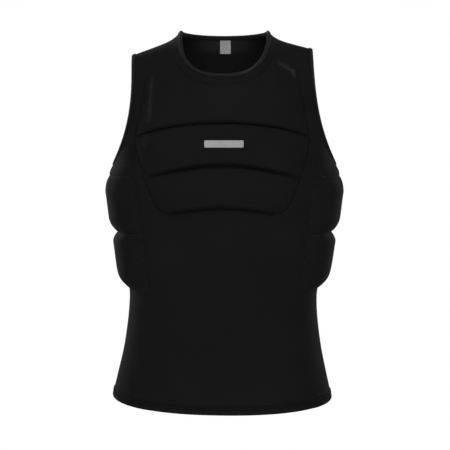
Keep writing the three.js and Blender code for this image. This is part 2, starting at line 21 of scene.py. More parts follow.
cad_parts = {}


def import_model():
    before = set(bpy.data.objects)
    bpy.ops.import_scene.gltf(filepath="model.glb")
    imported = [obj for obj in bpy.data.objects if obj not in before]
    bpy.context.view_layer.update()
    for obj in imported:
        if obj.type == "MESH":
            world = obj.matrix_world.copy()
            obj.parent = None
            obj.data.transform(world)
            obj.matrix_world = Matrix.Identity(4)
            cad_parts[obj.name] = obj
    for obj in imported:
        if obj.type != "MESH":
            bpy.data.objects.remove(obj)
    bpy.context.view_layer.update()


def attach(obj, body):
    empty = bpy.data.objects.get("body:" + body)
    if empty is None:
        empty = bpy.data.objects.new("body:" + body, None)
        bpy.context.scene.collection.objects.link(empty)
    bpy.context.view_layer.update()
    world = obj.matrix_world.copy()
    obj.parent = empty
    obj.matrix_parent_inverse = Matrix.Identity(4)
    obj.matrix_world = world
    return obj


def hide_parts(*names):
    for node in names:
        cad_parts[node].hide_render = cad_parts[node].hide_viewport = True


LOG = logging.getLogger("impact_vest")
MM = 0.001
BODY = "root"
PUCKER_MIDDLE = 5.0
PUCKER_WIDTH = 4.0
PAD_ROW_CROWDING = 0.75
PAD_COLUMN_CROWDING = 0.6
PAD_FOOT = 0.1
ARMHOLE_TIP_POWER = 6
OUTWARD_STEP = 0.05

Array = np.ndarray
Faces = list[tuple[int, ...]]


class Face(Enum):
    """The two faces of the body, by the sign of their Y."""

    FRONT = -1
    BACK = 1

    @property
    def run(self) -> int:
        """The way across the body in which a row's columns are counted."""
        return -self.value


class Side(Enum):
    """The vest's two sides, as someone who looks at the front sees them."""

    LEFT = -1
    RIGHT = 1

    @property
    def word(self) -> str:
        """The side's name in lower case."""
        return self.name.lower()


class Course(Enum):
    """The three sections of the chest and back padding."""

    UPPER = "upper"
    MIDDLE = "middle"
    LOWER = "lower"


def lerp(a: Array | float, b: Array | float, share: Array | float) -> Array | float:
    """Gives the value at a share of the way from a to b."""
    return a + (b - a) * share


def signed_power(value: Array, power: float) -> Array:
    """Raises the size of a value to a power and keeps its sign."""
    return np.sign(value) * np.abs(value) ** power


def unit(vectors: Array) -> Array:
    """Scales vectors along the last axis to a length of one."""
    return vectors / np.maximum(np.linalg.norm(vectors, axis=-1, keepdims=True), 1e-12)


def rounded_edge(distance: Array, width: float) -> Array:
    """Rises from 0 to 1 as a quarter round.

    Args:
        distance: How far from the edge.
        width: How deep the rounding goes.

    Returns:
        The share of the full height.
    """
    left = 1 - np.clip(distance / width, 0, 1)
    return np.sqrt(1 - left * left)


def soft_edge(distance: Array, width: float, held: Array | float = 0.0) -> Array:
    """Rises as a parabola, from a share of the height at which the edge is sewn down.

    Args:
        distance: How far from the edge.
        width: How deep the rounding goes.
        held: Share of the full height at the edge itself.

    Returns:
        The share of the full height.
    """
    left = 1 - np.clip(distance / width, 0, 1)
    return lerp(1, held, left * left)


def rolled_edge(distance: Array, width: float, power: float) -> Array:
    """Rises from 0 to 1 at a nearly even slope, and rounds off at the top.

    Args:
        distance: How far from the edge.
        width: How deep the slope goes.
        power: 1 for a straight slope, and more for a rounder one.

    Returns:
        The share of the full height.
    """
    return 1 - (1 - np.clip(distance / width, 0, 1)) ** power


def soft_lower(a: Array, b: Array, blend: float) -> Array:
    """Gives the lower of two heights, rounded where they cross."""
    h = np.clip(0.5 + (b - a) / (2 * blend), 0, 1)
    return lerp(b, a, h) - blend * h * (1 - h)


def ramp(value: Array, start: float, end: float) -> Array:
    """Gives a smooth step from 0 at start to 1 at end."""
    share = np.clip((value - start) / (end - start), 0, 1)
    return share * share * (3 - 2 * share)


def speckle(a: Array, b: Array | float = 0.0) -> Array:
    """Gives a fixed scattered number from 0 to 1 for each pair of numbers."""
    mixed = np.sin(np.asarray(a) * 12.9898 + np.asarray(b) * 78.233) * 43758.5453
    return mixed - np.floor(mixed)


def crowded(count: int, ease: float) -> Array:
    """Gives places from 0 to 1 that lie closer together towards both ends."""
    t = np.linspace(0, 1, count + 1)
    return lerp(t, (1 - np.cos(np.pi * t)) / 2, ease)


def puckers(from_edge: Array, depth: float, wave: Array) -> Array:
    """Gives the small puckers beside a seam.

    Args:
        from_edge: How far from the nearest edge.
        depth: Their height.
        wave: Their run along the seam, about -1 to 1.

    Returns:
        The height to add.
    """
    return depth * np.exp(-(((from_edge - PUCKER_MIDDLE) / PUCKER_WIDTH) ** 2)) * wave


@dataclass(frozen=True)
class Profile:
    """A smooth curve through a short table."""

    places: tuple[float, ...]
    values: tuple[float, ...]

    def __call__(self, place: Array | float) -> Array:
        """Reads the curve.

        Args:
            place: Where to read it, in the same measure as the table's places.

        Returns:
            The curve's values there.
        """
        at = np.asarray(self.places)
        value = np.asarray(self.values)
        last = len(at) - 1
        before = np.maximum(np.arange(last + 1) - 1, 0)
        after = np.minimum(np.arange(last + 1) + 1, last)
        slope = (value[after] - value[before]) / (at[after] - at[before])
        held = np.clip(place, at[0], at[-1])
        i = np.clip(np.searchsorted(at, held, side="left") - 1, 0, last - 1)
        span = at[i + 1] - at[i]
        u = (held - at[i]) / span
        rise = value[i + 1] - value[i]
        start_pull = slope[i] * span - rise
        end_pull = rise - slope[i + 1] * span
        return value[i] + u * rise + u * (1 - u) * (start_pull * (1 - u) + end_pull * u)


DOWN = (0.0, 0.035, 0.06, 0.11, 0.25, 0.33, 0.44, 0.54, 0.6, 0.68, 0.79, 0.89, 1.0)
BODY_WIDTH = Profile(
    DOWN, (0.973, 1.006, 1.004, 0.978, 0.94, 0.908, 0.875, 0.828, 0.825, 0.838, 0.87, 0.914, 0.966)
)
BODY_FRONT = Profile(
    DOWN, (1.0, 1.0, 1.0, 0.997, 0.97, 0.95, 0.92, 0.9, 0.89, 0.89, 0.905, 0.925, 0.94)
)
BODY_BACK = Profile(
    DOWN, (1.0, 0.997, 0.993, 0.98, 0.93, 0.895, 0.86, 0.84, 0.845, 0.87, 0.92, 0.96, 0.99)
)
BODY_SWAY = Profile(DOWN, (0.0, 0.0, 0.0, 0.0, 0.0, 0.05, 0.18, 0.4, 0.55, 0.65, 0.75, 0.9, 1.0))
ARMHOLE_CUT = Profile((0.0, 0.1, 0.25, 0.45, 0.7, 1.0), (1.0, 0.96, 0.905, 0.867, 0.852, 0.85))
PAD_OUTLINE = Profile(
    (0.0, 0.1, 0.26, 0.45, 0.56, 0.75, 0.88, 0.95, 1.0),
    (0.86, 0.9, 0.946, 1.0, 0.985, 0.885, 0.8, 0.73, 0.6),
)


@dataclass(frozen=True)
class WornForm:
    """The outer form of the panels when the vest is worn."""

    wall: float = 3.0
    seam_closure: float = -0.04
    shoulder_half_width: float = 155.5
    shoulder_tip_drop: float = 11.5
    shoulder_tilt: float = 0.052
    shoulder_sway: float = -4.0
    neck_half_width: float = 77.0
    neck_point_rise: float = 23.6
    front_neck_powers: tuple[float, float] = (2.7, 2.35)
    back_neck_power: float = 1.8
    neck_flare: float = 0.31
    neck_flare_power: int = 7
    front_neck_drop: float = 80.3
    back_neck_drop: float = 5.0
    armhole_depth: float = 195.5
    side_length: float = 407.5
    chest_half_width: float = 200.0
    chest_front_depth: float = 118.0
    chest_back_depth: float = 112.0
    front_hem_dip: float = 19.0
    back_hem_dip: float = 9.0
    hem_tilt: float = -0.012
    hem_sway: float = -4.5
    hem_band_height: float = 13.0
    seam_gap: float = 0.3
    section_power: float = 2.25
    arch_rise_power: float = 1.9
    arch_reach_power: float = 2.0
    armhole_flare_power: float = 3.0
    shoulder_columns: int = 4
    neck_columns: int = 16

    @property
    def underarm_z(self) -> float:
        """Height of the underarm."""
        return -(self.shoulder_tip_drop + self.armhole_depth)

    @property
    def hem_z(self) -> float:
        """Height of the hem at the side seams."""
        return self.underarm_z - self.side_length

    @property
    def columns(self) -> int:
        """Number of whole columns from one side of a panel to the other."""
        return 2 * self.shoulder_columns + self.neck_columns

    def shoulder_line(self, x: Array) -> Array:
        """Height of the shoulder line over a place across the body."""
        out = np.abs(x)
        rise = self.neck_point_rise + self.shoulder_tip_drop
        run = self.shoulder_half_width - self.neck_half_width
        tilt = self.shoulder_tilt * np.sign(x) * np.maximum(out - self.neck_half_width, 0)
        slope = (rise / run) * (1 + (self.neck_flare_power - 1) * self.neck_flare)
        dome = 0.5 * slope * self.neck_half_width * (1 - (out / self.neck_half_width) ** 2)
        left = 1 - (out - self.neck_half_width) / run
        flare = (1 - self.neck_flare) * left + self.neck_flare * left**self.neck_flare_power
        beyond = rise * flare - self.shoulder_tip_drop + tilt
        return np.where(out < self.neck_half_width, self.neck_point_rise + dome, beyond)

    def share_down(self, z: Array) -> Array:
        """Share of the way from the underarm down to the hem."""
        return np.clip((self.underarm_z - z) / self.side_length, 0, 1)

    def share_up(self, z: Array) -> Array:
        """Share of the way from the underarm up to the shoulder tip."""
        return np.clip((z - self.underarm_z) / self.armhole_depth, 0, 1)

    def half_width(self, z: Array) -> Array:
        """Half width of the panels at a height."""
        below = self.chest_half_width * BODY_WIDTH(self.share_down(z))
        underarm = self.chest_half_width * BODY_WIDTH.values[0]
        flare = (1 - self.share_up(z)) ** self.armhole_flare_power
        above = lerp(self.shoulder_half_width, underarm, flare)
        return np.where(z <= self.underarm_z, below, above)

    def sway(self, z: Array) -> Array:
        """Sideways lean of the body's middle at a height."""
        below = self.hem_sway * BODY_SWAY(self.share_down(z))
        above = self.shoulder_sway * self.share_up(z) ** 2
        return np.where(z <= self.underarm_z, below, above)

    def depth(self, face: Face, z: Array) -> Array:
        """Depth of one face from the plane of the side seams."""
        down = self.share_down(z)
        if face is Face.FRONT:
            return self.chest_front_depth * BODY_FRONT(down)
        return self.chest_back_depth * BODY_BACK(down)

    def face_point(self, face: Face, x: Array, z: Array) -> Array:
        """Finds the outer form over a place on one face.

        Args:
            face: Front or back.
            x: Place across the body.
            z: Height.

        Returns:
            The points, with x, y and z on the last axis.
        """
        x = np.asarray(x, float)
        z = np.asarray(z, float)
        power = self.section_power
        from_middle = np.abs(x - self.sway(z))
        share = np.minimum(from_middle / self.half_width(z), 1)
        reach = (1 - share**power) ** (1 / power)
        rise = (z - self.underarm_z) / (self.shoulder_line(x) - self.underarm_z)
        up = np.clip(rise, 0, 1)
        full_width = self.half_width(z) / ARMHOLE_CUT(up)
        across = (1 - np.minimum(from_middle / full_width, 1) ** power) ** (1 / power)
        arch = (1 - up**self.arch_rise_power) ** (1 / self.arch_reach_power)
        deep = np.where(z <= self.underarm_z, reach, arch * across) * self.depth(face, z)
        return np.stack(np.broadcast_arrays(x, face.value * deep, z), axis=-1)

    def ring_point(self, angle: Array, z: Array) -> Array:
        """Finds the outer form below the arms.

        Args:
            angle: Angle round the body from the middle of the front.
            z: Height.

        Returns:
            The points, with x, y and z on the last axis.
        """
        power = 2 / self.section_power
        x = self.sway(z) + self.half_width(z) * signed_power(np.sin(angle), power)
        front = np.cos(angle) >= 0
        deep = np.where(front, self.depth(Face.FRONT, z), self.depth(Face.BACK, z))
        y = -deep * signed_power(np.cos(angle), power)
        return np.stack(np.broadcast_arrays(x, y, z), axis=-1)

    def outside(self, face: Face, p: Array) -> Array:
        """Tells how far outside the outer form points are."""
        x, y, z = p[..., 0], p[..., 1], p[..., 2]
        up = np.maximum((z - self.underarm_z) / (self.shoulder_line(x) - self.underarm_z), 0)
        full_width = self.half_width(z) / ARMHOLE_CUT(up)
        spread = 1 - (np.abs(x - self.sway(z)) / full_width) ** self.section_power
        deep = (np.abs(y) / self.depth(face, z)) ** self.arch_reach_power
        rise = up**self.arch_rise_power - 1
        return deep + rise * signed_power(spread, self.arch_reach_power / self.section_power)

    def outward(self, face: Face, p: Array) -> Array:
        """Gives the outward direction of the outer form at points of it."""
        change = []
        for axis in range(3):
            shift = np.zeros(3)
            shift[axis] = OUTWARD_STEP
            change.append(self.outside(face, p + shift) - self.outside(face, p - shift))
        return unit(np.stack(change, axis=-1))

    def ring_outward(self, angle: Array, p: Array) -> Array:
        """Gives the outward direction below the arms, on whichever face a point is."""
        front = (np.cos(angle) >= 0)[..., None]
        return np.where(front, self.outward(Face.FRONT, p), self.outward(Face.BACK, p))

    def hem_line(self, face: Face, angle: Array, x: Array) -> Array:
        """Height of the hem's foot at an angle round the body."""
        dip = self.front_hem_dip if face is Face.FRONT else self.back_hem_dip
        return self.hem_z - dip * np.abs(np.cos(angle)) + self.hem_tilt * x

    def neck_power(self, face: Face, x: Array) -> Array:
        """Tells how square the neckline is on one face, at places across the body."""
        left, right = self.front_neck_powers
        return np.where(x < 0, left, right) if face is Face.FRONT else self.back_neck_power

    def top_edge(self, face: Face, column: Array) -> Array:
        """Gives x and z of a panel's top edge: shoulder, neckline, shoulder."""
        from_end = np.minimum(column, self.columns - column)
        side = face.run * np.where(column < self.columns / 2, -1, 1)
        tip = self.shoulder_sway + side * self.shoulder_half_width
        shoulder_share = np.clip(from_end / self.shoulder_columns, 0, 1)
        shoulder_x = lerp(tip, side * self.neck_half_width, shoulder_share)
        share = np.clip((column - self.shoulder_columns) / self.neck_columns, 0, 1)
        angle = np.pi * (1 - np.cos(np.pi * share)) / 2
        drop = self.front_neck_drop if face is Face.FRONT else self.back_neck_drop
        power = 2 / self.neck_power(face, -face.run * np.cos(angle))
        neck_x = -face.run * self.neck_half_width * signed_power(np.cos(angle), power)
        neck_z = self.neck_point_rise - drop * signed_power(np.sin(angle), power)
        on_shoulder = from_end <= self.shoulder_columns
        x = np.where(on_shoulder, shoulder_x, neck_x)
        z = np.where(on_shoulder, self.shoulder_line(shoulder_x), neck_z)
        return np.stack([x, z], axis=-1)

    def armhole_edge(self, side: int, share: Array) -> Array:
        """Gives x and z of a panel's armhole edge at a share of its height."""
        tip = self.shoulder_sway + side * self.shoulder_half_width
        z = lerp(self.underarm_z, float(self.shoulder_line(tip)), share)
        x = lerp(self.sway(z) + side * self.half_width(z), tip, share**ARMHOLE_TIP_POWER)
        return np.stack([x, z], axis=-1)

    def panel_grid(self, face: Face, columns: Array, levels: Array, yoke: Array) -> Array:
        """Lays out one panel.

        Args:
            face: Front or back.
            columns: Where the columns lie, from 0 to the number of whole columns.
            levels: Rows of the body, as shares of the height from the hem to the underarm.
            yoke: Rows above the underarm, as shares of the way up to the shoulder.

        Returns:
            The outer points, row by row from the hem up.
        """
        first = -np.pi / 2 if face is Face.FRONT else np.pi / 2
        angles = first + np.pi * columns / self.columns
        level_x = self.ring_point(angles, np.full_like(angles, self.hem_z))[:, 0]
        foot = self.hem_line(face, angles, level_x) + self.hem_band_height + self.seam_gap
        body_z = lerp(foot[None, :], self.underarm_z, levels[:, None])
        body = self.ring_point(np.broadcast_to(angles, body_z.shape), body_z)
        start = body[-1][:, [0, 2]]
        top = self.top_edge(face, columns)
        up = (1 - np.cos(np.pi * yoke)) / 2
        left = self.armhole_edge(-face.run, up)[:, None, :]
        right = self.armhole_edge(face.run, up)[:, None, :]
        s = (columns / self.columns)[None, :, None]
        u = up[:, None, None]
        corner = (1 - u) * lerp(start[0], start[-1], s) + u * lerp(top[0], top[-1], s)
        place = lerp(start[None], top[None], u) + lerp(left, right, s) - corner
        upper = self.face_point(face, place[..., 0], place[..., 1])
        return np.concatenate([body, upper], axis=0)


FORM = WornForm()


def grid_faces(rows: int, columns: int, start: int = 0, flip: bool = False) -> Faces:
    """Lists the quads of a grid of points.

    Args:
        rows: Number of rows of points.
        columns: Number of points in a row.
        start: Number of the grid's first point.
        flip: Whether the faces are turned round.

    Returns:
        The quads, row by row.
    """
    r, c = np.meshgrid(np.arange(rows - 1), np.arange(columns - 1), indexing="ij")
    a = (start + r * columns + c).ravel()
    quads = np.stack([a, a + 1, a + columns + 1, a + columns], axis=1)
    if flip:
        quads = quads[:, ::-1]
    return [tuple(q) for q in quads.tolist()]


def grid_rim(rows: int, columns: int) -> list[int]:
    """Lists the points round the rim of a grid, in the order that its faces turn."""
    rim = list(range(columns - 1))
    rim += [r * columns + columns - 1 for r in range(rows - 1)]
    rim += [(rows - 1) * columns + c for c in range(columns - 1, 0, -1)]
    rim += [r * columns for r in range(rows - 1, 0, -1)]
    return rim


def grid_lengths(grid: Array) -> Array:
    """Measures a grid of points along its rows and columns.

    Args:
        grid: Points in millimetres, row by row.

    Returns:
        Distances in metres from the middle column and from the first row.
    """
    across = np.linalg.norm(np.diff(grid, axis=1), axis=-1)
    u = np.concatenate([np.zeros((len(grid), 1)), np.cumsum(across, axis=1)], axis=1)
    u -= u[:, u.shape[1] // 2][:, None]
    along = np.linalg.norm(np.diff(grid, axis=0), axis=-1)
    v = np.concatenate([np.zeros((1, grid.shape[1])), np.cumsum(along, axis=0)], axis=0)
    return np.stack([u, v], axis=-1) * MM


@dataclass
class MeshKit:
    """Points, faces and what a mesh carries on its points."""

    points: Array
    faces: Faces
    uv: Array | None = None
    # Per point, from 0 to 1: scuffing of edges, together with painted highlights and painted light.
    wear_and_painted_light: Array | None = None
    slots: Array | None = None

    def build(self, name: str) -> bpy.types.Object:
        """Makes the mesh an object at the origin.

        Args:
            name: Name of the object.

        Returns:
            The new object, shaded smooth.
        """
        mesh = bpy.data.meshes.new(name)
        mesh.from_pydata((self.points * MM).tolist(), [], self.faces)
        mesh.polygons.foreach_set("use_smooth", np.ones(len(mesh.polygons), bool))
        corners = np.empty(len(mesh.loops), np.int32)
        mesh.loops.foreach_get("vertex_index", corners)
        if self.uv is not None:
            layer = mesh.uv_layers.new(name="cloth_lengths")
            layer.data.foreach_set("uv", self.uv[corners].astype(np.float32).ravel())
        if self.wear_and_painted_light is not None:
            attribute = mesh.attributes.new("wear_and_painted_light", "FLOAT", "POINT")
            attribute.data.foreach_set("value", self.wear_and_painted_light.astype(np.float32))
        if self.slots is not None:
            mesh.polygons.foreach_set("material_index", self.slots.astype(np.int32))
        mesh.update()
        piece = bpy.data.objects.new(name, mesh)
        bpy.context.scene.collection.objects.link(piece)
        return piece


def layered(outer: Array, inner: Array, wear_and_painted_light: Array | None = None, lined: bool = False,
            lining_painted_light: Array | None = None) -> MeshKit:
    """Closes a grid of outer points and a like grid of inner points to one shell.

    Args:
        outer: Outer points, row by row.
        inner: Inner points, row by row.
        wear_and_painted_light: How scuffed the outer points are, with the highlight painted on
            them, from 0 to 1.
        lined: Whether the inner faces take the second material.
        lining_painted_light: Painted light on the inner points, from 0 to 1.

    Returns:
        The closed mesh, with lengths along the cloth as its UV map.
    """
    rows, columns = outer.shape[:2]
    count = rows * columns
    points = np.concatenate([outer.reshape(-1, 3), inner.reshape(-1, 3)])
    top = grid_faces(rows, columns)
    under = grid_faces(rows, columns, start=count, flip=True)
    rim = grid_rim(rows, columns)
    sides = []
    for i, a in enumerate(rim):
        b = rim[(i + 1) % len(rim)]
        sides.append((a, count + a, count + b, b))
    lengths = grid_lengths(outer).reshape(-1, 2)
    worn_and_lit = np.zeros(count) if wear_and_painted_light is None else wear_and_painted_light.ravel()
    inner_worn_and_lit = worn_and_lit if lining_painted_light is None else lining_painted_light.ravel()
    slots = np.zeros(len(top) + len(under) + len(sides))
    if lined:
        slots[len(top) : len(top) + len(under)] = 1
    return MeshKit(
        points,
        top + under + sides,
        uv=np.concatenate([lengths, lengths]),
        wear_and_painted_light=np.concatenate([worn_and_lit, inner_worn_and_lit]),
        slots=slots,
    )


@dataclass(frozen=True)
class PaintedHighlightStreak:
    """A short streak of the front painted paler, a painted highlight where a fold or pad edge
    catches light.
    """

    start: tuple[float, float]
    end: tuple[float, float]
    width: float
    strength: float
    grain: float = 0.5

    def on(self, points: Array) -> Array:
        """Gives how strongly the painted highlight lightens points of the front.

        Args:
            points: The points, with x, y and z on the last axis.

        Returns:
            Painted highlight from 0 to 1 at each.
        """
        place = points[..., [0, 2]]
        start, end = np.asarray(self.start), np.asarray(self.end)
        run = end - start
        share = np.clip(((place - start) @ run) / (run @ run), 0, 1)
        apart = np.linalg.norm(place - (start + share[..., None] * run), axis=-1)
        spots = 2 * speckle(np.round(place[..., 0]), np.round(place[..., 1])) - 1
        return self.strength * np.exp(-((apart / self.width) ** 2)) * (1 + self.grain * spots)


# Painted highlights: pale streaks along the left edge of the upper chest pad, at the left end of
# the first groove and on the pad's upper right corner.
PAINTED_FRONT_HIGHLIGHTS = (
    PaintedHighlightStreak((-124.0, -62.0), (-128.0, -132.0), 3.4, 0.5, 0.9),
    PaintedHighlightStreak((-133.0, -160.0), (-136.0, -172.0), 4.0, 0.3, 1.0),
    PaintedHighlightStreak((92.0, -33.0), (117.0, -48.0), 3.2, 0.85, 0.3),
    PaintedHighlightStreak((117.0, -48.0), (120.0, -57.0), 2.6, 0.7, 0.4),
)


def front_wear(points: Array) -> Array:
    """Adds up the painted highlights of the streaks on the front."""
    return np.clip(sum(place.on(points) for place in PAINTED_FRONT_HIGHLIGHTS), 0, 1)


@dataclass(frozen=True)
class EdgeRun:
    """A closed run of points along a panel's edge, with directions at each."""

    points: Array
    normals: Array
    past: Array

    @classmethod
    def around(cls, points: Array, normals: Array, blend: int = 4) -> "EdgeRun":
        """Smooths the directions along a closed edge.

        Args:
            points: The edge's points, with the panel on their left.
            normals: Outward directions of the cloth there.
            blend: Over how many neighbours the directions are smoothed.

        Returns:
            The run, whose "past" directions point out of the edge.
        """
        shifts = range(-blend, blend + 1)
        weights = [1 + blend - abs(s) for s in shifts]
        soft = sum(w * np.roll(normals, s, axis=0) for s, w in zip(shifts, weights))
        tangent = sum(
            w * (np.roll(points, s - 1, axis=0) - np.roll(points, s + 1, axis=0))
            for s, w in zip(shifts, weights)
        )
        tangent = unit(tangent)
        soft = unit(soft - tangent * np.sum(soft * tangent, axis=1, keepdims=True))
        return cls(points, soft, unit(np.cross(tangent, soft)))

    def at(self, reach: Array | float, over: float) -> Array:
        """Gives the points at a reach past the edge and a height over the cloth."""
        return self.points + self.normals * over + self.past * reach

    def loop(self, reach: Array | float) -> tuple[Array, Array]:
        """Gives a closed path at a reach past the edge, and the directions there."""
        path = self.at(reach, 0)
        return np.concatenate([path, path[:1]]), np.concatenate([self.normals, self.normals[:1]])

    def sweep(self, section: Sequence[tuple[float, float]], wear_and_painted_light: Sequence[float],
              stretch: Array | None = None, painted_light: Array | None = None) -> MeshKit:
        """Sweeps a closed section round the edge.

        Args:
            section: Corners of the section, as reach past the edge and height over it.
            wear_and_painted_light: How scuffed each corner is, from 0 to 1.
            stretch: How many times wider the part on the cloth is, at each place.
            painted_light: Painted highlight added at each place.

        Returns:
            The closed ring, with lengths along and round it as its UV map.
        """
        wide = np.ones(len(self.points)) if stretch is None else stretch
        rings = np.stack(
            [self.at(reach * (wide[:, None] if reach < 0 else 1), over) for reach, over in section],
            axis=1,
        )
        count, corners = rings.shape[:2]
        faces: Faces = []
        for s in range(count):
            n = (s + 1) % count
            for k in range(corners):
                m = (k + 1) % corners
                faces.append((s * corners + k, n * corners + k, n * corners + m, s * corners + m))
        steps = np.linalg.norm(np.roll(self.points, -1, axis=0) - self.points, axis=1)
        along = np.concatenate([[0], np.cumsum(steps)[:-1]])
        outline = np.asarray(section)
        widths = np.linalg.norm(np.roll(outline, -1, axis=0) - outline, axis=1)
        round_it = np.concatenate([[0], np.cumsum(widths)[:-1]])
        uv = np.stack(np.broadcast_arrays(along[:, None], round_it[None, :]), axis=-1) * MM
        worn_and_lit = np.broadcast_to(np.asarray(wear_and_painted_light, float), (count, corners))
        # Adds the painted highlight on top of the scuffing.
        if painted_light is not None:
            worn_and_lit = np.clip(worn_and_lit + painted_light[:, None], 0, 1)
        return MeshKit(rings.reshape(-1, 3), faces, uv=uv.reshape(-1, 2), wear_and_painted_light=worn_and_lit.ravel())


class NodeBench:
    """Builds a material's nodes, one named step at a time."""

    def __init__(self, name: str) -> None:
        """Starts a material with only its shader and output.

        Args:
            name: Name of the material.
        """
        self.material = bpy.data.materials.new(name)
        self.material.use_nodes = True
        self.tree = self.material.node_tree
        self.shader = self.tree.nodes["Principled BSDF"]

    def add(self, kind: str, **settings: object) -> bpy.types.Node:
        """Adds a node.

        Args:
            kind: Blender's type name, without its leading ShaderNode.
            **settings: Properties of the node.

        Returns:
            The node.
        """
        node = self.tree.nodes.new("ShaderNode" + kind)
        for key, value in settings.items():
            setattr(node, key, value)
        return node

    def join(self, source: bpy.types.NodeSocket, target: bpy.types.NodeSocket) -> None:
        """Links one socket to another."""
        self.tree.links.new(source, target)

    def shader_values(self, **values: object) -> None:
        """Sets constants on the shader's own sockets, with _ for a space in their names."""
        for key, value in values.items():
            self.shader.inputs[key.replace("_", " ")].default_value = value

    def mapped(self, source: str, scale: tuple[float, float, float]) -> bpy.types.NodeSocket:
        """Scales the object's or the cloth's own coordinates.

        Args:
            source: "Object" or "UV".
            scale: Repeats to the metre on each axis.

        Returns:
            The scaled coordinates.
        """
        place = self.add("TexCoord")
        mapping = self.add("Mapping")
        mapping.inputs["Scale"].default_value = scale
        self.join(place.outputs[source], mapping.inputs["Vector"])
        return mapping.outputs["Vector"]

    def noise(self, vector: bpy.types.NodeSocket, scale: float,
              detail: float) -> bpy.types.NodeSocket:
        """Adds a noise pattern and gives its grey value."""
        node = self.add("TexNoise")
        node.inputs["Scale"].default_value = scale
        node.inputs["Detail"].default_value = detail
        self.join(vector, node.inputs["Vector"])
        return node.outputs["Fac"]

    def spread(self, value: bpy.types.NodeSocket, low: float, high: float,
               start: float = 0.3, end: float = 0.7) -> bpy.types.NodeSocket:
        """Maps a pattern's middle range to two numbers."""
        node = self.add("MapRange")
        node.inputs["From Min"].default_value = start
        node.inputs["From Max"].default_value = end
        node.inputs["To Min"].default_value = low
        node.inputs["To Max"].default_value = high
        self.join(value, node.inputs["Value"])
        return node.outputs["Result"]

    def maths(self, operation: str, a: bpy.types.NodeSocket,
              b: bpy.types.NodeSocket | float) -> bpy.types.NodeSocket:
        """Joins two patterns, or a pattern and a number, by arithmetic."""
        node = self.add("Math", operation=operation)
        self.join(a, node.inputs[0])
        if isinstance(b, (int, float)):
            node.inputs[1].default_value = b
        else:
            self.join(b, node.inputs[1])
        return node.outputs[0]

    def wave(self, vector: bpy.types.NodeSocket, axis: str) -> bpy.types.NodeSocket:
        """Adds straight ribs across an axis, one for each unit of the coordinates."""
        node = self.add("TexWave", bands_direction=axis)
        node.inputs["Scale"].default_value = 1 / 20
        node.inputs["Distortion"].default_value = 0.0
        scaled = self.add("VectorMath", operation="SCALE")
        scaled.inputs["Scale"].default_value = 2 * math.pi
        self.join(vector, scaled.inputs[0])
        self.join(scaled.outputs[0], node.inputs["Vector"])
        return node.outputs["Fac"]

    def tint(self, value: bpy.types.NodeSocket, dark: float, light: float) -> bpy.types.NodeSocket:
        """Turns a pattern into a colour between two greys."""
        node = self.add("ValToRGB")
        node.color_ramp.elements[0].color = (dark, dark, dark, 1)
        node.color_ramp.elements[1].color = (light, light, light, 1)
        self.join(value, node.inputs["Fac"])
        return node.outputs["Color"]

    def bump(self, height: bpy.types.NodeSocket, distance: float, strength: float = 1.0,
             under: bpy.types.NodeSocket | None = None) -> bpy.types.NodeSocket:
        """Adds a bump layer, on another one if that is given, and gives its normal."""
        node = self.add("Bump")
        node.inputs["Distance"].default_value = distance
        node.inputs["Strength"].default_value = strength
        self.join(height, node.inputs["Height"])
        if under is not None:
            self.join(under, node.inputs["Normal"])
        return node.outputs["Normal"]

    def attribute(self, name: str) -> bpy.types.NodeSocket:
        """Reads a number that the mesh carries on its points."""
        return self.add("Attribute", attribute_name=name).outputs["Fac"]


@dataclass(frozen=True)
class KnitFinish:
    """A matt knitted cloth over neoprene or foam."""

    name: str
    dark: float
    light: float
    # The paler grey for scuffed edges, painted highlights and painted light.
    worn_and_lit: float
    rib: float = 1.1
    course: float = 1.5
    relief: float = 0.00012
    roughness: tuple[float, float] = (0.9, 1.0)
    specular: float = 0.08

    def make(self) -> bpy.types.Material:
        """Builds the cloth: ribs, fuzz, cloudy tone, scuffed edges, painted highlights and painted
        light.
        """
        bench = NodeBench(self.name)
        cloth = bench.mapped("UV", (1000 / self.rib, 1000 / self.course, 1))
        ribs = bench.wave(cloth, "X")
        courses = bench.wave(cloth, "Y")
        knit = bench.maths("MULTIPLY", ribs, courses)
        space = bench.mapped("Object", (1, 1, 1))
        clouds = bench.noise(space, scale=14, detail=3)
        fuzz = bench.noise(space, scale=900, detail=2)
        tone = bench.maths("ADD", bench.spread(clouds, 0.25, 0.75), bench.spread(fuzz, -0.15, 0.15))
        tone = bench.maths("ADD", tone, bench.spread(knit, -0.12, 0.12, 0, 1))
        base = bench.tint(tone, self.dark, self.light)
        # Mixes in the paler grey by the per-point attribute: scuffed edges, painted highlights and
        # painted light.
        mix = bench.add("Mix", data_type="RGBA", blend_type="MIX")
        bench.join(bench.attribute("wear_and_painted_light"), mix.inputs["Factor"])
        bench.join(base, mix.inputs["A"])
        mix.inputs["B"].default_value = (self.worn_and_lit, self.worn_and_lit, self.worn_and_lit, 1)
        bench.join(mix.outputs["Result"], bench.shader.inputs["Base Color"])
        rough = bench.spread(clouds, self.roughness[0], self.roughness[1])
        bench.join(rough, bench.shader.inputs["Roughness"])
        dimples = bench.noise(space, scale=60, detail=3)
        soft = bench.bump(dimples, distance=0.0006, strength=0.5)
        loops = bench.maths("ADD", knit, bench.maths("MULTIPLY", fuzz, 0.5))
        fine = bench.bump(loops, distance=self.relief, under=soft)
        bench.join(fine, bench.shader.inputs["Normal"])
        bench.shader_values(Specular_IOR_Level=self.specular)
        return bench.material


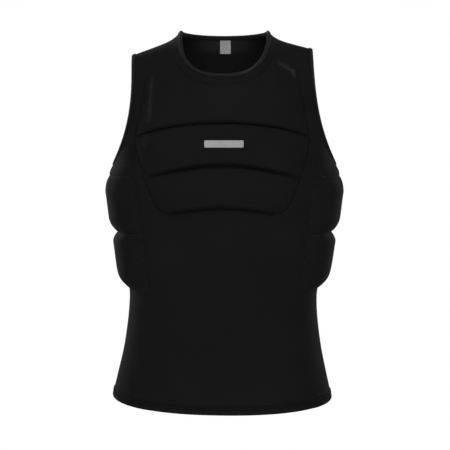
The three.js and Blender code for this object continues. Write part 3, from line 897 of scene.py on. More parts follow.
@dataclass(frozen=True)
class ThreadFinish:
    """Twisted polyester thread."""

    name: str = "black_thread"
    # Darker than the black thread itself: painted shade for the holes the stitches sink into.
    dark: float = 0.0012
    light: float = 0.003

    def make(self) -> bpy.types.Material:
        """Builds the thread, with fine plies and a faint gloss."""
        bench = NodeBench(self.name)
        space = bench.mapped("Object", (1, 1, 1))
        plies = bench.noise(space, scale=1800, detail=1)
        tone = bench.noise(space, scale=70, detail=2)
        bench.join(bench.tint(bench.spread(tone, 0, 1), self.dark, self.light),
                   bench.shader.inputs["Base Color"])
        bench.join(bench.spread(plies, 0.55, 0.75), bench.shader.inputs["Roughness"])
        bench.join(bench.bump(plies, distance=0.00008), bench.shader.inputs["Normal"])
        bench.shader_values(Specular_IOR_Level=0.03)
        return bench.material


@dataclass(frozen=True)
class PlateFinish:
    """A smooth moulded or printed surface, such as the badge or the label."""

    name: str
    dark: float
    light: float
    roughness: tuple[float, float]
    grain: float
    relief: float
    specular: float = 0.3

    def make(self) -> bpy.types.Material:
        """Builds the surface, with a fine grain and slight clouds in its tone."""
        bench = NodeBench(self.name)
        space = bench.mapped("Object", (1, 1, 1))
        clouds = bench.noise(space, scale=45, detail=3)
        grain = bench.noise(space, scale=self.grain, detail=2)
        tone = bench.maths("ADD", bench.spread(clouds, 0.2, 0.8), bench.spread(grain, -0.15, 0.15))
        bench.join(bench.tint(tone, self.dark, self.light), bench.shader.inputs["Base Color"])
        rough = bench.spread(grain, self.roughness[0], self.roughness[1])
        bench.join(rough, bench.shader.inputs["Roughness"])
        bench.join(bench.bump(grain, self.relief), bench.shader.inputs["Normal"])
        bench.shader_values(Specular_IOR_Level=self.specular)
        return bench.material


@dataclass
class Wardrobe:
    """The vest's finishes, each made once."""

    neoprene: bpy.types.Material = field(
        default_factory=KnitFinish("neoprene_knit", dark=0.010, light=0.0145, worn_and_lit=0.032).make
    )
    # The lining's darker tone is partly its own and partly painted shade for the inside of the
    # vest.
    lining: bpy.types.Material = field(
        default_factory=KnitFinish(
            "lining_knit", dark=0.0095, light=0.013, worn_and_lit=0.027, rib=1.6, course=2.0
        ).make
    )
    cover: bpy.types.Material = field(
        default_factory=KnitFinish(
            "pad_cover_knit", dark=0.010, light=0.0145, worn_and_lit=0.032, rib=0.9, course=1.2
        ).make
    )
    tape: bpy.types.Material = field(
        default_factory=KnitFinish(
            "binding_tape", dark=0.0135, light=0.018, worn_and_lit=0.038, rib=0.8, course=0.8,
            relief=0.00008, roughness=(0.8, 0.92), specular=0.12,
        ).make
    )
    thread: bpy.types.Material = field(default_factory=ThreadFinish().make)
    # The grey thread's pale tone is partly its own colour and partly painted glints on the
    # stitches: a painted highlight.
    grey_thread: bpy.types.Material = field(
        default_factory=ThreadFinish("grey_thread", dark=0.045, light=0.07).make
    )
    badge: bpy.types.Material = field(
        default_factory=PlateFinish(
            "badge_rubber", dark=0.43, light=0.515, roughness=(0.45, 0.6), grain=700, relief=0.00005
        ).make
    )
    label: bpy.types.Material = field(
        default_factory=PlateFinish(
            "label_film", dark=0.55, light=0.65, roughness=(0.55, 0.7), grain=1200, relief=0.00004,
            specular=0.2,
        ).make
    )


def dress(piece: bpy.types.Object, *materials: bpy.types.Material) -> None:
    """Gives a piece its materials, in the order of its slots."""
    for material in materials:
        piece.data.materials.append(material)


@dataclass
class Panel:
    """One neoprene panel, from the hem band up to the shoulder seam and neckline."""

    face: Face
    column_steps: int = 6
    body_rows: int = 96
    yoke_rows: int = 66
    seam_dip: float = 0.5
    seam_dip_width: float = 5.0
    # Width and fade of the painted light inside the back of the neck.
    painted_light_share: float = 0.62
    painted_light_fade: tuple[float, float] = (14.0, 32.0)

    def __post_init__(self) -> None:
        """Lays out the panel's grid."""
        columns = np.linspace(0, FORM.columns, FORM.columns * self.column_steps + 1)
        levels = np.linspace(0, 1, self.body_rows + 1)
        yoke = np.linspace(0, 1, self.yoke_rows + 1)[1:]
        self.grid = FORM.panel_grid(self.face, columns, levels, yoke)
        self.normals = FORM.outward(self.face, self.grid)

    @property
    def name(self) -> str:
        """The node that the panel stands for."""
        return self.face.name.lower() + "_panel"

    def layer(self, height: Array | float) -> Array:
        """Gives the panel's grid at a height over its outer face, kept to its side of the seams."""
        lifted = self.grid + self.normals * np.asarray(height)[..., None]
        y = np.maximum(self.face.value * lifted[..., 1], FORM.seam_closure)
        return np.stack([lifted[..., 0], self.face.value * y, lifted[..., 2]], axis=-1)

    def relief(self) -> Array:
        """Gives the low relief of the worn cloth, which dips at its seams."""
        y = np.abs(self.grid[..., 1])
        return -self.seam_dip * np.exp(-((y / self.seam_dip_width) ** 2))

    def lining_painted_light(self) -> Array:
        """Gives the painted light on the lining: paler just under the back of the neck, where light
        falls in.
        """
        below_neck = FORM.neck_point_rise - FORM.back_neck_drop - self.grid[..., 2]
        wide = self.painted_light_share * FORM.neck_half_width
        across = np.exp(-((np.abs(self.grid[..., 0]) / wide) ** 4))
        painted_light = across * (1 - ramp(below_neck, *self.painted_light_fade))
        return painted_light if self.face is Face.BACK else np.zeros_like(painted_light)

    def build(self, wardrobe: Wardrobe) -> bpy.types.Object:
        """Makes the panel and gives it its cloth and lining."""
        relief = self.relief()
        outer, inner = self.layer(relief), self.layer(relief - FORM.wall)
        # Painted highlights on the front panel; painted light on the back's lining.
        wear_and_painted_light = front_wear(self.grid) if self.face is Face.FRONT else None
        kit = layered(outer, inner, wear_and_painted_light=wear_and_painted_light, lined=True, lining_painted_light=self.lining_painted_light())
        piece = kit.build(self.name + "_cloth")
        dress(piece, wardrobe.neoprene, wardrobe.lining)
        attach(piece, BODY)
        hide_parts(self.name)
        return piece

    def column(self, index: int) -> tuple[Array, Array]:
        """Gives the points and directions of the armhole edge at a column."""
        first = self.body_rows
        return self.grid[first:, index], self.normals[first:, index]


@dataclass
class PadSection:
    """One section of the chest or back padding."""

    face: Face
    course: Course
    thickness: float = 13.0
    hem: float = 0.25
    half_width: float = 147.0
    sway: float = -4.0
    neck_margin: float = 14.5
    shoulder_margin: float = 46.0
    back_top: float = -24.0
    groove: float = 1.2
    groove_middles: tuple[float, float, float] = (-139.2, -211.0, -281.4)
    groove_arc: float = 21.0
    second_groove_reach: float = 0.89
    bottom_arc: float = 14.0
    bottom_reach: float = 0.7
    side_edge: float = 58.0
    bottom_edges: tuple[float, float, float] = (5.5, 8.0, 8.2)
    bottom_held: tuple[float, float, float] = (0.5, 0.0, 0.0)
    top_held: tuple[float, float, float] = (0.0, 0.48, 0.0)
    narrowest_bottom_edge: float = 0.6
    bottom_edge_spread: float = 48.0
    roll: float = 1.45
    pucker_depth: float = 0.16
    top_reach: float = 0.8
    tallest: float = 90.0
    rows: int = 46
    columns: int = 90

    def line(self, index: int) -> Callable[[Array], Array]:
        """Gives the height of one of the curved seams across the padding.

        Args:
            index: 0 and 1 for the grooves, 2 for the padding's foot.

        Returns:
            A function of the place across the body.
        """
        second_arc = self.groove_arc / self.second_groove_reach**2
        arcs = (self.groove_arc, second_arc, self.bottom_arc / self.bottom_reach**2)
        middle = self.groove_middles[index]
        return lambda x: middle - arcs[index] * ((x - self.sway) / self.half_width) ** 2

    def padding_top(self, x: Array) -> Array:
        """Height of the padding's top edge: scooped under the neck, lower at the shoulders."""
        shoulder = FORM.shoulder_line(x) - self.shoulder_margin
        if self.face is Face.BACK:
            return soft_lower(np.full_like(shoulder, self.back_top), shoulder, self.neck_margin)
        wide = FORM.neck_half_width + self.neck_margin
        deep = FORM.front_neck_drop + self.neck_margin
        share = np.minimum(np.abs(x) / wide, 1)
        power = FORM.neck_power(Face.FRONT, x)
        neck = FORM.neck_point_rise - deep * (1 - share**power) ** (1 / power)
        return soft_lower(neck, shoulder, self.neck_margin)

    def top(self, x: Array) -> Array:
        """Height of the section's top edge."""
        if self.course is Course.UPPER:
            return self.padding_top(x)
        index = 0 if self.course is Course.MIDDLE else 1
        return self.line(index)(x) - self.groove / 2

    def bottom(self, x: Array) -> Array:
        """Height of the section's bottom edge."""
        if self.course is Course.LOWER:
            return self.line(2)(x)
        index = 0 if self.course is Course.UPPER else 1
        return self.line(index)(x) + self.groove / 2

    def padding_half_width(self, z: Array) -> Array:
        """Half width of the padding at a height."""
        top = float(FORM.shoulder_line(self.half_width)) - self.shoulder_margin
        foot = self.groove_middles[2] - self.bottom_arc
        return self.half_width * PAD_OUTLINE(np.clip((top - z) / (top - foot), 0, 1))

    def place(self, share: Array, up: Array) -> tuple[Array, Array]:
        """Finds x and z of points of the section.

        Args:
            share: Place across, from -1 to 1.
            up: Place upwards, from 0 to 1.

        Returns:
            The places across the body and the heights.
        """
        share, up = np.broadcast_arrays(share, up)
        x = np.full(share.shape, self.sway)
        z = self.bottom(x)
        for _ in range(8):
            z = lerp(self.bottom(x), self.top(x), up)
            x = self.sway + self.face.run * share * self.padding_half_width(z)
        return x, z

    def height(self, x: Array, z: Array) -> Array:
        """Height of the cover over the panel, with small puckers where it is sewn down."""
        bottom = self.bottom(x)
        top = self.top(x)
        from_side = self.padding_half_width(z) - np.abs(x - self.sway)
        order = list(Course).index(self.course)
        held = self.bottom_held[order]
        middle = np.exp(-(((x - self.sway) / self.bottom_edge_spread) ** 2))
        bottom_edge = self.bottom_edges[order] * lerp(self.narrowest_bottom_edge, 1.0, middle)
        full_top = self.top_reach * np.minimum(top - bottom, self.tallest)
        rise = (
            soft_edge(from_side, self.side_edge)
            * lerp(held, 1.0, rolled_edge(z - bottom, bottom_edge, self.roll))
            * soft_edge(top - z, full_top, self.top_held[order])
        )
        edge = np.minimum(np.minimum(z - bottom, top - z), from_side)
        wave = np.sin(x / 4.1 + 1.7 * np.sin(x / 23)) + 0.6 * np.sin(z / 5.3 + x / 31)
        full = self.hem + (self.thickness - self.hem) * rise
        return full + puckers(edge, self.pucker_depth, wave)

    def grid(self, height: Callable[[Array, Array], Array]) -> Array:
        """Lays the section's grid over the panel at a height."""
        up = crowded(self.rows, PAD_ROW_CROWDING)[:, None]
        s = np.linspace(-1, 1, self.columns + 1)
        share = lerp(s, np.sin(np.pi * s / 2), PAD_COLUMN_CROWDING)[None, :]
        x, z = self.place(share, up)
        base = FORM.face_point(self.face, x, z)
        return base + FORM.outward(self.face, base) * height(x, z)[..., None]

    @property
    def name(self) -> str:
        """The node that the section stands for."""
        part = "chest" if self.face is Face.FRONT else "back"
        return f"{part}_pad_{self.course.value}"


@dataclass(frozen=True)
class PadEnd:
    """The upper or lower end of a side pad."""

    drop: float
    edge: float
    held: float
    corner: float


class SidePadCourse(Enum):
    """The two sections of a side pad, each with its upper and lower ends."""

    UPPER = (
        PadEnd(drop=21, edge=28, held=0.0, corner=16),
        PadEnd(drop=118.3, edge=27, held=0.2, corner=5),
    )
    LOWER = (
        PadEnd(drop=118.8, edge=16, held=0.25, corner=5),
        PadEnd(drop=217.5, edge=31, held=0.0, corner=12),
    )


@dataclass
class SidePad:
    """One section of the pad that wraps round the body under an arm."""

    side: Side
    course: SidePadCourse
    thickness: float = 14.0
    hem: float = 0.25
    front_angle: float = 49.0
    back_angle: float = 131.0
    front_edge: float = 62.0
    seam_fade: tuple[float, float] = (14.0, 60.0)
    seam_ease: float = 0.8
    pucker_depth: float = 0.15
    rows: int = 46
    columns: int = 80

    def corner_inset(self, end: PadEnd, z: Array) -> Array:
        """Tells how far a rounded corner draws the pad's side in at a height."""
        end_z = FORM.underarm_z - end.drop
        return end.corner * (1 - rounded_edge(np.abs(z - end_z), end.corner))

    def end_rise(self, end: PadEnd, from_end: Array, from_side: Array) -> Array:
        """Gives the rise from one end, whose seam fades out towards the pad's sides.

        Args:
            end: The end.
            from_end: How far from it.
            from_side: How far from the nearer side.

        Returns:
            The share of the full height.
        """
        eased = (1 - ramp(from_side, *self.seam_fade)) * (end.held > 0)
        return soft_edge(from_end, end.edge, lerp(end.held, self.seam_ease, eased))

    def grid(self, full: bool) -> Array:
        """Lays out the section's cover, or its foot on the panel.

        Args:
            full: True for the cover, False for the foot.

        Returns:
            The points, row by row from the bottom.
        """
        top, bottom = self.course.value
        up = crowded(self.rows, PAD_ROW_CROWDING)[:, None]
        across = crowded(self.columns, PAD_COLUMN_CROWDING)[None, :]
        top_z = FORM.underarm_z - top.drop
        bottom_z = FORM.underarm_z - bottom.drop
        z, across = np.broadcast_arrays(lerp(bottom_z, top_z, up), across)
        inset = np.maximum(self.corner_inset(top, z), self.corner_inset(bottom, z))
        inset = inset / FORM.chest_front_depth
        first = np.radians(self.front_angle) + inset
        last = np.radians(self.back_angle) - inset
        if self.side is Side.RIGHT:
            angle = lerp(first, last, across)
        else:
            angle = 2 * np.pi - lerp(last, first, across)
        base = FORM.ring_point(angle, z)
        direction = FORM.ring_outward(angle, base)
        if not full:
            return base + direction * PAD_FOOT
        from_side = np.minimum(across, 1 - across) * (last - first) * FORM.chest_front_depth
        rise = (
            soft_edge(from_side, self.front_edge)
            * self.end_rise(bottom, z - bottom_z, from_side)
            * self.end_rise(top, top_z - z, from_side)
        )
        edge = np.minimum(np.minimum(z - bottom_z, top_z - z), from_side)
        wave = np.sin(angle * 27) + 0.6 * np.sin(z / 5.1 + angle * 5)
        full = self.hem + (self.thickness - self.hem) * rise
        height = full + puckers(edge, self.pucker_depth, wave)
        return base + direction * height[..., None]

    @property
    def name(self) -> str:
        """The node that the section stands for."""
        return f"side_pad_{self.course.name.lower()}_{self.side.word}"


@dataclass
class PadSewer:
    """Makes sewn-down foam pads: a blown-out cover that is held all round, on a flat foot."""

    pressure: float = 2.2
    cap: float = 2.2
    steps: int = 20
    quality: int = 5
    mass: float = 0.35
    stretch_stiffness: float = 18.0
    shear_stiffness: float = 8.0
    bending_stiffness: float = 1.2

    def blow(self, name: str, cover: Array) -> Array:
        """Blows a cover out over its foam with a cloth simulation.

        Args:
            name: Name of the pad.
            cover: The cover's points, row by row.

        Returns:
            The points of the settled cover.
        """
        rows, columns = cover.shape[:2]
        kit = MeshKit(cover.reshape(-1, 3), grid_faces(rows, columns))
        piece = kit.build(name + "_blown")
        held = piece.vertex_groups.new(name="sewn")
        held.add(grid_rim(rows, columns), 1.0, "REPLACE")
        cloth = piece.modifiers.new("cover", "CLOTH")
        cloth.point_cache.frame_start = 1
        cloth.point_cache.frame_end = self.steps
        settings = cloth.settings
        settings.vertex_group_mass = "sewn"
        settings.quality = self.quality
        settings.mass = self.mass
        settings.tension_stiffness = self.stretch_stiffness
        settings.compression_stiffness = self.stretch_stiffness
        settings.shear_stiffness = self.shear_stiffness
        settings.bending_stiffness = self.bending_stiffness
        settings.use_pressure = True
        settings.uniform_pressure_force = self.pressure
        settings.effector_weights.gravity = 0
        cloth.collision_settings.use_collision = False
        scene = bpy.context.scene
        for frame in range(1, self.steps + 1):
            scene.frame_set(frame)
        graph = bpy.context.evaluated_depsgraph_get()
        settled = piece.evaluated_get(graph).to_mesh()
        points = np.empty(rows * columns * 3, np.float32)
        settled.vertices.foreach_get("co", points)
        piece.evaluated_get(graph).to_mesh_clear()
        bpy.data.objects.remove(piece, do_unlink=True)
        scene.frame_set(1)
        moved = points.reshape(cover.shape) / MM - cover
        far = np.linalg.norm(moved, axis=-1, keepdims=True)
        capped = moved * (self.cap * np.tanh(far / self.cap) / np.maximum(far, 1e-9))
        return cover + capped

    def sew(self, name: str, cover: Array, foot: Array, wardrobe: Wardrobe) -> bpy.types.Object:
        """Makes one pad.

        Args:
            name: The node that it stands for.
            cover: Points of its cover, row by row.
            foot: Points of its foot on the panel.
            wardrobe: The finishes.

        Returns:
            The padded piece.
        """
        blown = self.blow(name, cover)
        # The chest pads' covers carry the front's painted highlights.
        wear_and_painted_light = front_wear(cover) if name.startswith("chest") else None
        piece = layered(blown, foot, wear_and_painted_light=wear_and_painted_light).build(name + "_cover")
        dress(piece, wardrobe.cover)
        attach(piece, BODY)
        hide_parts(name)
        LOG.info("%s sewn, blown out by %.1f mm", name, np.abs(blown - cover).max())
        return piece


@dataclass
class Binding:
    """Tape folded over a raw edge, and sewn down with two rows of stitches."""

    name: str
    run: EdgeRun
    flat: tuple[float, float]
    stretch: Array
    # Painted highlight along the tape, from 0 to 1.
    painted_light: Array | None = None
    reach: float = 2.6
    wall: float = 1.0
    lift: float = 0.12
    tuck: float = 0.35
    bevel: float = 0.4
    fold_out: float = 0.3
    leg_shares: tuple[float, float] = (0.6, 0.3)
    fold_steps: int = 8
    inner_steps: int = 4

    def section(self) -> tuple[list[tuple[float, float]], list[float]]:
        """Gives the corners of the folded tape and how scuffed each is."""
        middle = -FORM.wall / 2
        inner = FORM.wall / 2 + self.lift
        outer = inner + self.wall
        legs = [-self.reach + self.tuck] + [-self.reach * share for share in self.leg_shares]
        shape = [(reach, middle + outer) for reach in legs]
        wear_and_painted_light = [0.05] * len(legs)
        for step in range(self.fold_steps + 1):
            angle = math.pi * (0.5 - step / self.fold_steps)
            place = (self.fold_out + outer * math.cos(angle), middle + outer * math.sin(angle))
            shape.append(place)
            wear_and_painted_light.append(0.05 + 0.3 * math.cos(angle) ** 2)
        shape += [(reach, middle - outer) for reach in reversed(legs)]
        wear_and_painted_light += [0.1] * len(legs)
        shape.append((-self.reach, middle - outer + self.bevel))
        shape.append((-self.reach, middle - inner))
        for step in range(self.inner_steps + 1):
            angle = math.pi * (-0.5 + step / self.inner_steps)
            place = (self.fold_out + inner * math.cos(angle), middle + inner * math.sin(angle))
            shape.append(place)
        shape.append((-self.reach, middle + inner))
        shape.append((-self.reach, middle + outer - self.bevel))
        wear_and_painted_light += [0.1, 0.05] + [0.0] * (self.inner_steps + 1) + [0.05, 0.1]
        return shape[::-1], wear_and_painted_light[::-1]

    def build(self, wardrobe: Wardrobe) -> bpy.types.Object:
        """Makes the binding."""
        shape, wear_and_painted_light = self.section()
        kit = self.run.sweep(shape, wear_and_painted_light, self.stretch, self.painted_light)
        piece = kit.build(self.name + "_tape")
        dress(piece, wardrobe.tape)
        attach(piece, BODY)
        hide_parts(self.name)
        return piece


@dataclass
class HemBand:
    """The turned-up hem, a fold of the same cloth under both panels."""

    run: EdgeRun
    proud: float = 0.6
    lap: float = 0.8
    bevel: tuple[float, float] = (0.6, 0.45)
    wall_shares: tuple[float, float] = (0.35, 0.6)
    foot_wear: float = 0.06
    fold_steps: int = 8

    def build(self, wardrobe: Wardrobe) -> bpy.types.Object:
        """Makes the hem band as one closed ring."""
        middle = -FORM.wall / 2
        half = FORM.wall / 2 + self.proud
        foot = FORM.hem_band_height + FORM.seam_gap
        down, out = self.bevel
        walls = [foot * share for share in self.wall_shares]
        shape = [(-self.lap, middle + half - out), (down - self.lap, middle + half)]
        shape += [(reach, middle + half) for reach in walls]
        for step in range(self.fold_steps + 1):
            angle = math.pi * (0.5 - step / self.fold_steps)
            shape.append((foot - half + half * math.cos(angle), middle + half * math.sin(angle)))
        shape += [(reach, middle - half) for reach in reversed(walls)]
        shape += [(down - self.lap, middle - half), (-self.lap, middle - half + out)]
        wear_and_painted_light = [self.foot_wear if reach > foot - half else 0.0 for reach, _ in shape]
        piece = self.run.sweep(shape[::-1], wear_and_painted_light[::-1]).build("hem_band_cloth")
        dress(piece, wardrobe.neoprene)
        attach(piece, BODY)
        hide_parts("hem_band")
        return piece


@dataclass(frozen=True)
class Stitch:
    """Size of one stitch of thread."""

    length: float = 2.0
    pitch: float = 4.4
    radius: float = 0.6
    sides: int = 5
    sunk: float = 0.0

    def threads(self, centres: Array, along: Array, normals: Array) -> tuple[Array, Faces]:
        """Makes a short bent thread for each stitch.

        Args:
            centres: Middle of each stitch on the cloth.
            along: Direction of each stitch.
            normals: Outward direction of the cloth at each.

        Returns:
            The points and faces of all the threads.
        """
        across = unit(np.cross(normals, along))
        stations = ((-0.5, 0.4, -0.45), (-0.3, 1.0, 0.4), (0.3, 1.0, 0.4), (0.5, 0.4, -0.45))
        rings = []
        for place, thick, lift in stations:
            middle = centres + along * place * self.length + normals * lift * self.radius
            for side in range(self.sides):
                angle = 2 * math.pi * side / self.sides
                bend = across * math.cos(angle) + normals * math.sin(angle)
                rings.append(middle + bend * self.radius * thick)
        points = np.stack(rings, axis=1)
        count = points.shape[1]
        faces: Faces = []
        for stitch in range(len(centres)):
            start = stitch * count
            for ring in range(len(stations) - 1):
                a = start + ring * self.sides
                for side in range(self.sides):
                    n = (side + 1) % self.sides
                    faces.append((a + side, a + n, a + self.sides + n, a + self.sides + side))
            faces.append(tuple(start + side for side in reversed(range(self.sides))))
            last = start + count - self.sides
            faces.append(tuple(last + side for side in range(self.sides)))
        return points.reshape(-1, 3), faces


@dataclass
class StitchBox:
    """Collects rows of stitches that lie on finished pieces, and makes them one piece."""

    ground: BVHTree
    stitch: Stitch = field(default_factory=Stitch)
    zigzag_pitch: float = 1.5
    zigzag_thinning: float = 0.8
    points: list[Array] = field(default_factory=list)
    faces: list[Faces] = field(default_factory=list)
    count: int = 0

    def sample(self, path: Array, normals: Array, pitch: float) -> tuple[Array, Array, Array]:
        """Spaces places evenly along a path.

        Args:
            path: Points of the path.
            normals: Outward directions there.
            pitch: Distance from one place to the next.

        Returns:
            The places, the directions along the path and the outward directions.
        """
        steps = np.linalg.norm(np.diff(path, axis=0), axis=1)
        length = np.concatenate([[0], np.cumsum(steps)])
        at = np.arange(pitch / 2, length[-1], pitch)

        def read(values: Array, place: Array) -> Array:
            """Reads values at places along the path."""
            return np.stack([np.interp(place, length, values[:, k]) for k in range(3)], axis=1)

        ahead, behind = read(path, at + 0.5), read(path, at - 0.5)
        return read(path, at), unit(ahead - behind), unit(read(normals, at))

    def drop(self, spot: Array, out: Array, reach: float) -> tuple[Array, Array, Array]:
        """Drops places onto the finished pieces from outside.

        Args:
            spot: The places.
            out: Outward directions.
            reach: How far outside the drop starts.

        Returns:
            Which places found the cloth, where they landed, and its directions there.
        """
        found, landed, facing = [], [], []
        for place, direction in zip(spot, out):
            start = Vector((place + direction * reach) * MM)
            hit, normal, _, _ = self.ground.ray_cast(start, Vector(-direction), 2.2 * reach * MM)
            found.append(hit is not None)
            landed.append(np.array(hit) / MM if hit is not None else place)
            facing.append(np.array(normal) if normal is not None else direction)
        facing = np.array(facing)
        turned = np.where(np.sum(facing * out, axis=1) < 0, -1, 1)[:, None]
        return np.array(found), np.array(landed), facing * turned

    def row(self, path: Array, normals: Array, reach: float = 25.0) -> None:
        """Sews a straight row along a path."""
        spot, along, out = self.sample(path, normals, self.stitch.pitch)
        seen = speckle(np.arange(len(spot)), self.count) >= self.stitch.sunk
        self.lay(spot[seen], along[seen], out[seen], reach)

    def zigzag(self, path: Array, normals: Array, width: float, reach: float = 25.0) -> None:
        """Sews a flat zigzag over a seam.

        Args:
            path: Points of the seam.
            normals: Outward directions there.
            width: Width of the zigzag.
            reach: How far outside the stitches are dropped from.
        """
        spot, along, out = self.sample(path, normals, self.zigzag_pitch)
        across = unit(np.cross(out, along))
        turn = np.where(np.arange(len(spot)) % 2 == 0, 1.0, -1.0)[:, None]
        slant = unit(along * self.zigzag_pitch + across * turn * width)
        self.lay(spot, slant, out, reach, length=math.hypot(self.zigzag_pitch, width))

    def lay(self, spot: Array, along: Array, out: Array, reach: float,
            length: float | None = None) -> None:
        """Lays stitches on the cloth and keeps them.

        Args:
            spot: Their places.
            along: Their directions.
            out: Outward directions.
            reach: How far outside they are dropped from.
            length: Length of each, if not the usual one.
        """
        found, landed, facing = self.drop(spot, out, reach)
        along = unit(along - facing * np.sum(along * facing, axis=1, keepdims=True))
        stitch = self.stitch
        if length is not None:
            radius = stitch.radius * self.zigzag_thinning
            stitch = Stitch(length, stitch.pitch, radius, stitch.sides)
        points, faces = stitch.threads(landed[found], along[found], facing[found])
        self.faces.append([tuple(self.count + i for i in f) for f in faces])
        self.points.append(points)
        self.count += len(points)

    def build(self, name: str, thread: bpy.types.Material) -> bpy.types.Object:
        """Makes all the kept stitches one piece."""
        kit = MeshKit(np.concatenate(self.points), [f for row in self.faces for f in row])
        piece = kit.build(name)
        dress(piece, thread)
        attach(piece, BODY)
        return piece


def surface_tree(pieces: Sequence[bpy.types.Object]) -> BVHTree:
    """Gathers finished pieces into one tree for finding their surfaces.

    Args:
        pieces: Objects at the origin.

    Returns:
        The tree, in metres.
    """
    points: list[Vector] = []
    faces: Faces = []
    for piece in pieces:
        start = len(points)
        points += [v.co.copy() for v in piece.data.vertices]
        faces += [tuple(start + i for i in p.vertices) for p in piece.data.polygons]
    return BVHTree.FromPolygons(points, faces)


@dataclass
class Plate:
    """A thin plate with a raised rim, laid on the cloth: the bare badge or the bare label."""

    node: str
    width: float
    height: float
    middle: tuple[float, float]
    thickness: float
    rim: float
    rim_rise: float
    columns: int
    rows: int
    corner: float
    toward: int

    def shape(self) -> bpy.types.Object:
        """Models the flat plate in edit mode, face up."""
        bpy.ops.object.select_all(action="DESELECT")
        bpy.ops.mesh.primitive_grid_add(
            x_subdivisions=self.columns, y_subdivisions=self.rows, size=1
        )
        piece = bpy.context.active_object
        piece.name = self.node + "_plate"
        bpy.ops.object.mode_set(mode="EDIT")
        bpy.ops.mesh.select_all(action="SELECT")
        bpy.ops.transform.resize(value=(self.width * MM, self.height * MM, 1))
        bpy.ops.mesh.inset(thickness=self.rim * MM, depth=0, use_boundary=True)
        bpy.ops.transform.translate(value=(0, 0, -self.rim_rise * MM))
        bpy.ops.object.mode_set(mode="OBJECT")
        wall = piece.modifiers.new("wall", "SOLIDIFY")
        wall.thickness = self.thickness * MM
        wall.offset = -1
        round_over = piece.modifiers.new("round_over", "BEVEL")
        round_over.width = 0.22 * MM
        round_over.segments = 2
        round_over.limit_method = "ANGLE"
        round_over.angle_limit = math.radians(50)
        bpy.ops.object.modifier_apply(modifier="wall")
        bpy.ops.object.modifier_apply(modifier="round_over")
        bpy.ops.object.shade_smooth_by_angle(angle=math.radians(40))
        return piece

    def lay(self, piece: bpy.types.Object, ground: BVHTree, gap: float) -> None:
        """Bends the plate to the cloth that it is stuck to.

        Args:
            piece: The flat plate, face up.
            ground: The finished cloth.
            gap: Height of the plate's back over the cloth.
        """
        count = len(piece.data.vertices)
        flat = np.empty(count * 3, np.float32)
        piece.data.vertices.foreach_get("co", flat)
        flat = flat.reshape(-1, 3) / MM
        half = np.array([self.width / 2, self.height / 2])
        beyond = np.abs(flat[:, :2]) - (half - self.corner)
        in_corner = (beyond > 0).all(axis=1)
        far = np.linalg.norm(beyond, axis=1)
        long = np.maximum(beyond.max(axis=1), 1e-6)
        squeeze = np.where(in_corner, long / np.maximum(far, 1e-6), 1)[:, None]
        signs = np.sign(flat[:, :2])
        rounded = signs * (half - self.corner + beyond * squeeze)
        flat[:, :2] = np.where(in_corner[:, None], rounded, flat[:, :2])
        back = flat[:, 2].min()
        laid = np.empty_like(flat)
        for i, (x, up, rise) in enumerate(flat):
            across = self.middle[0] - self.toward * x
            place = np.array([across, 0.0, self.middle[1] + up])
            start = Vector(place * MM)
            if self.toward < 0:
                start.y = -0.3
            hit, normal, _, _ = ground.ray_cast(start, Vector((0, 1, 0)))
            direction = np.array(normal)
            direction *= -1 if direction[1] > 0 else 1
            laid[i] = np.array(hit) / MM + direction * (gap + rise - back)
        piece.data.vertices.foreach_set("co", (laid * MM).astype(np.float32).ravel())
        piece.data.update()

    def build(self, ground: BVHTree, gap: float, material: bpy.types.Material) -> bpy.types.Object:
        """Makes the plate, lays it on the cloth and gives it its finish."""
        piece = self.shape()
        self.lay(piece, ground, gap)
        dress(piece, material)
        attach(piece, BODY)
        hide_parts(self.node)
        return piece


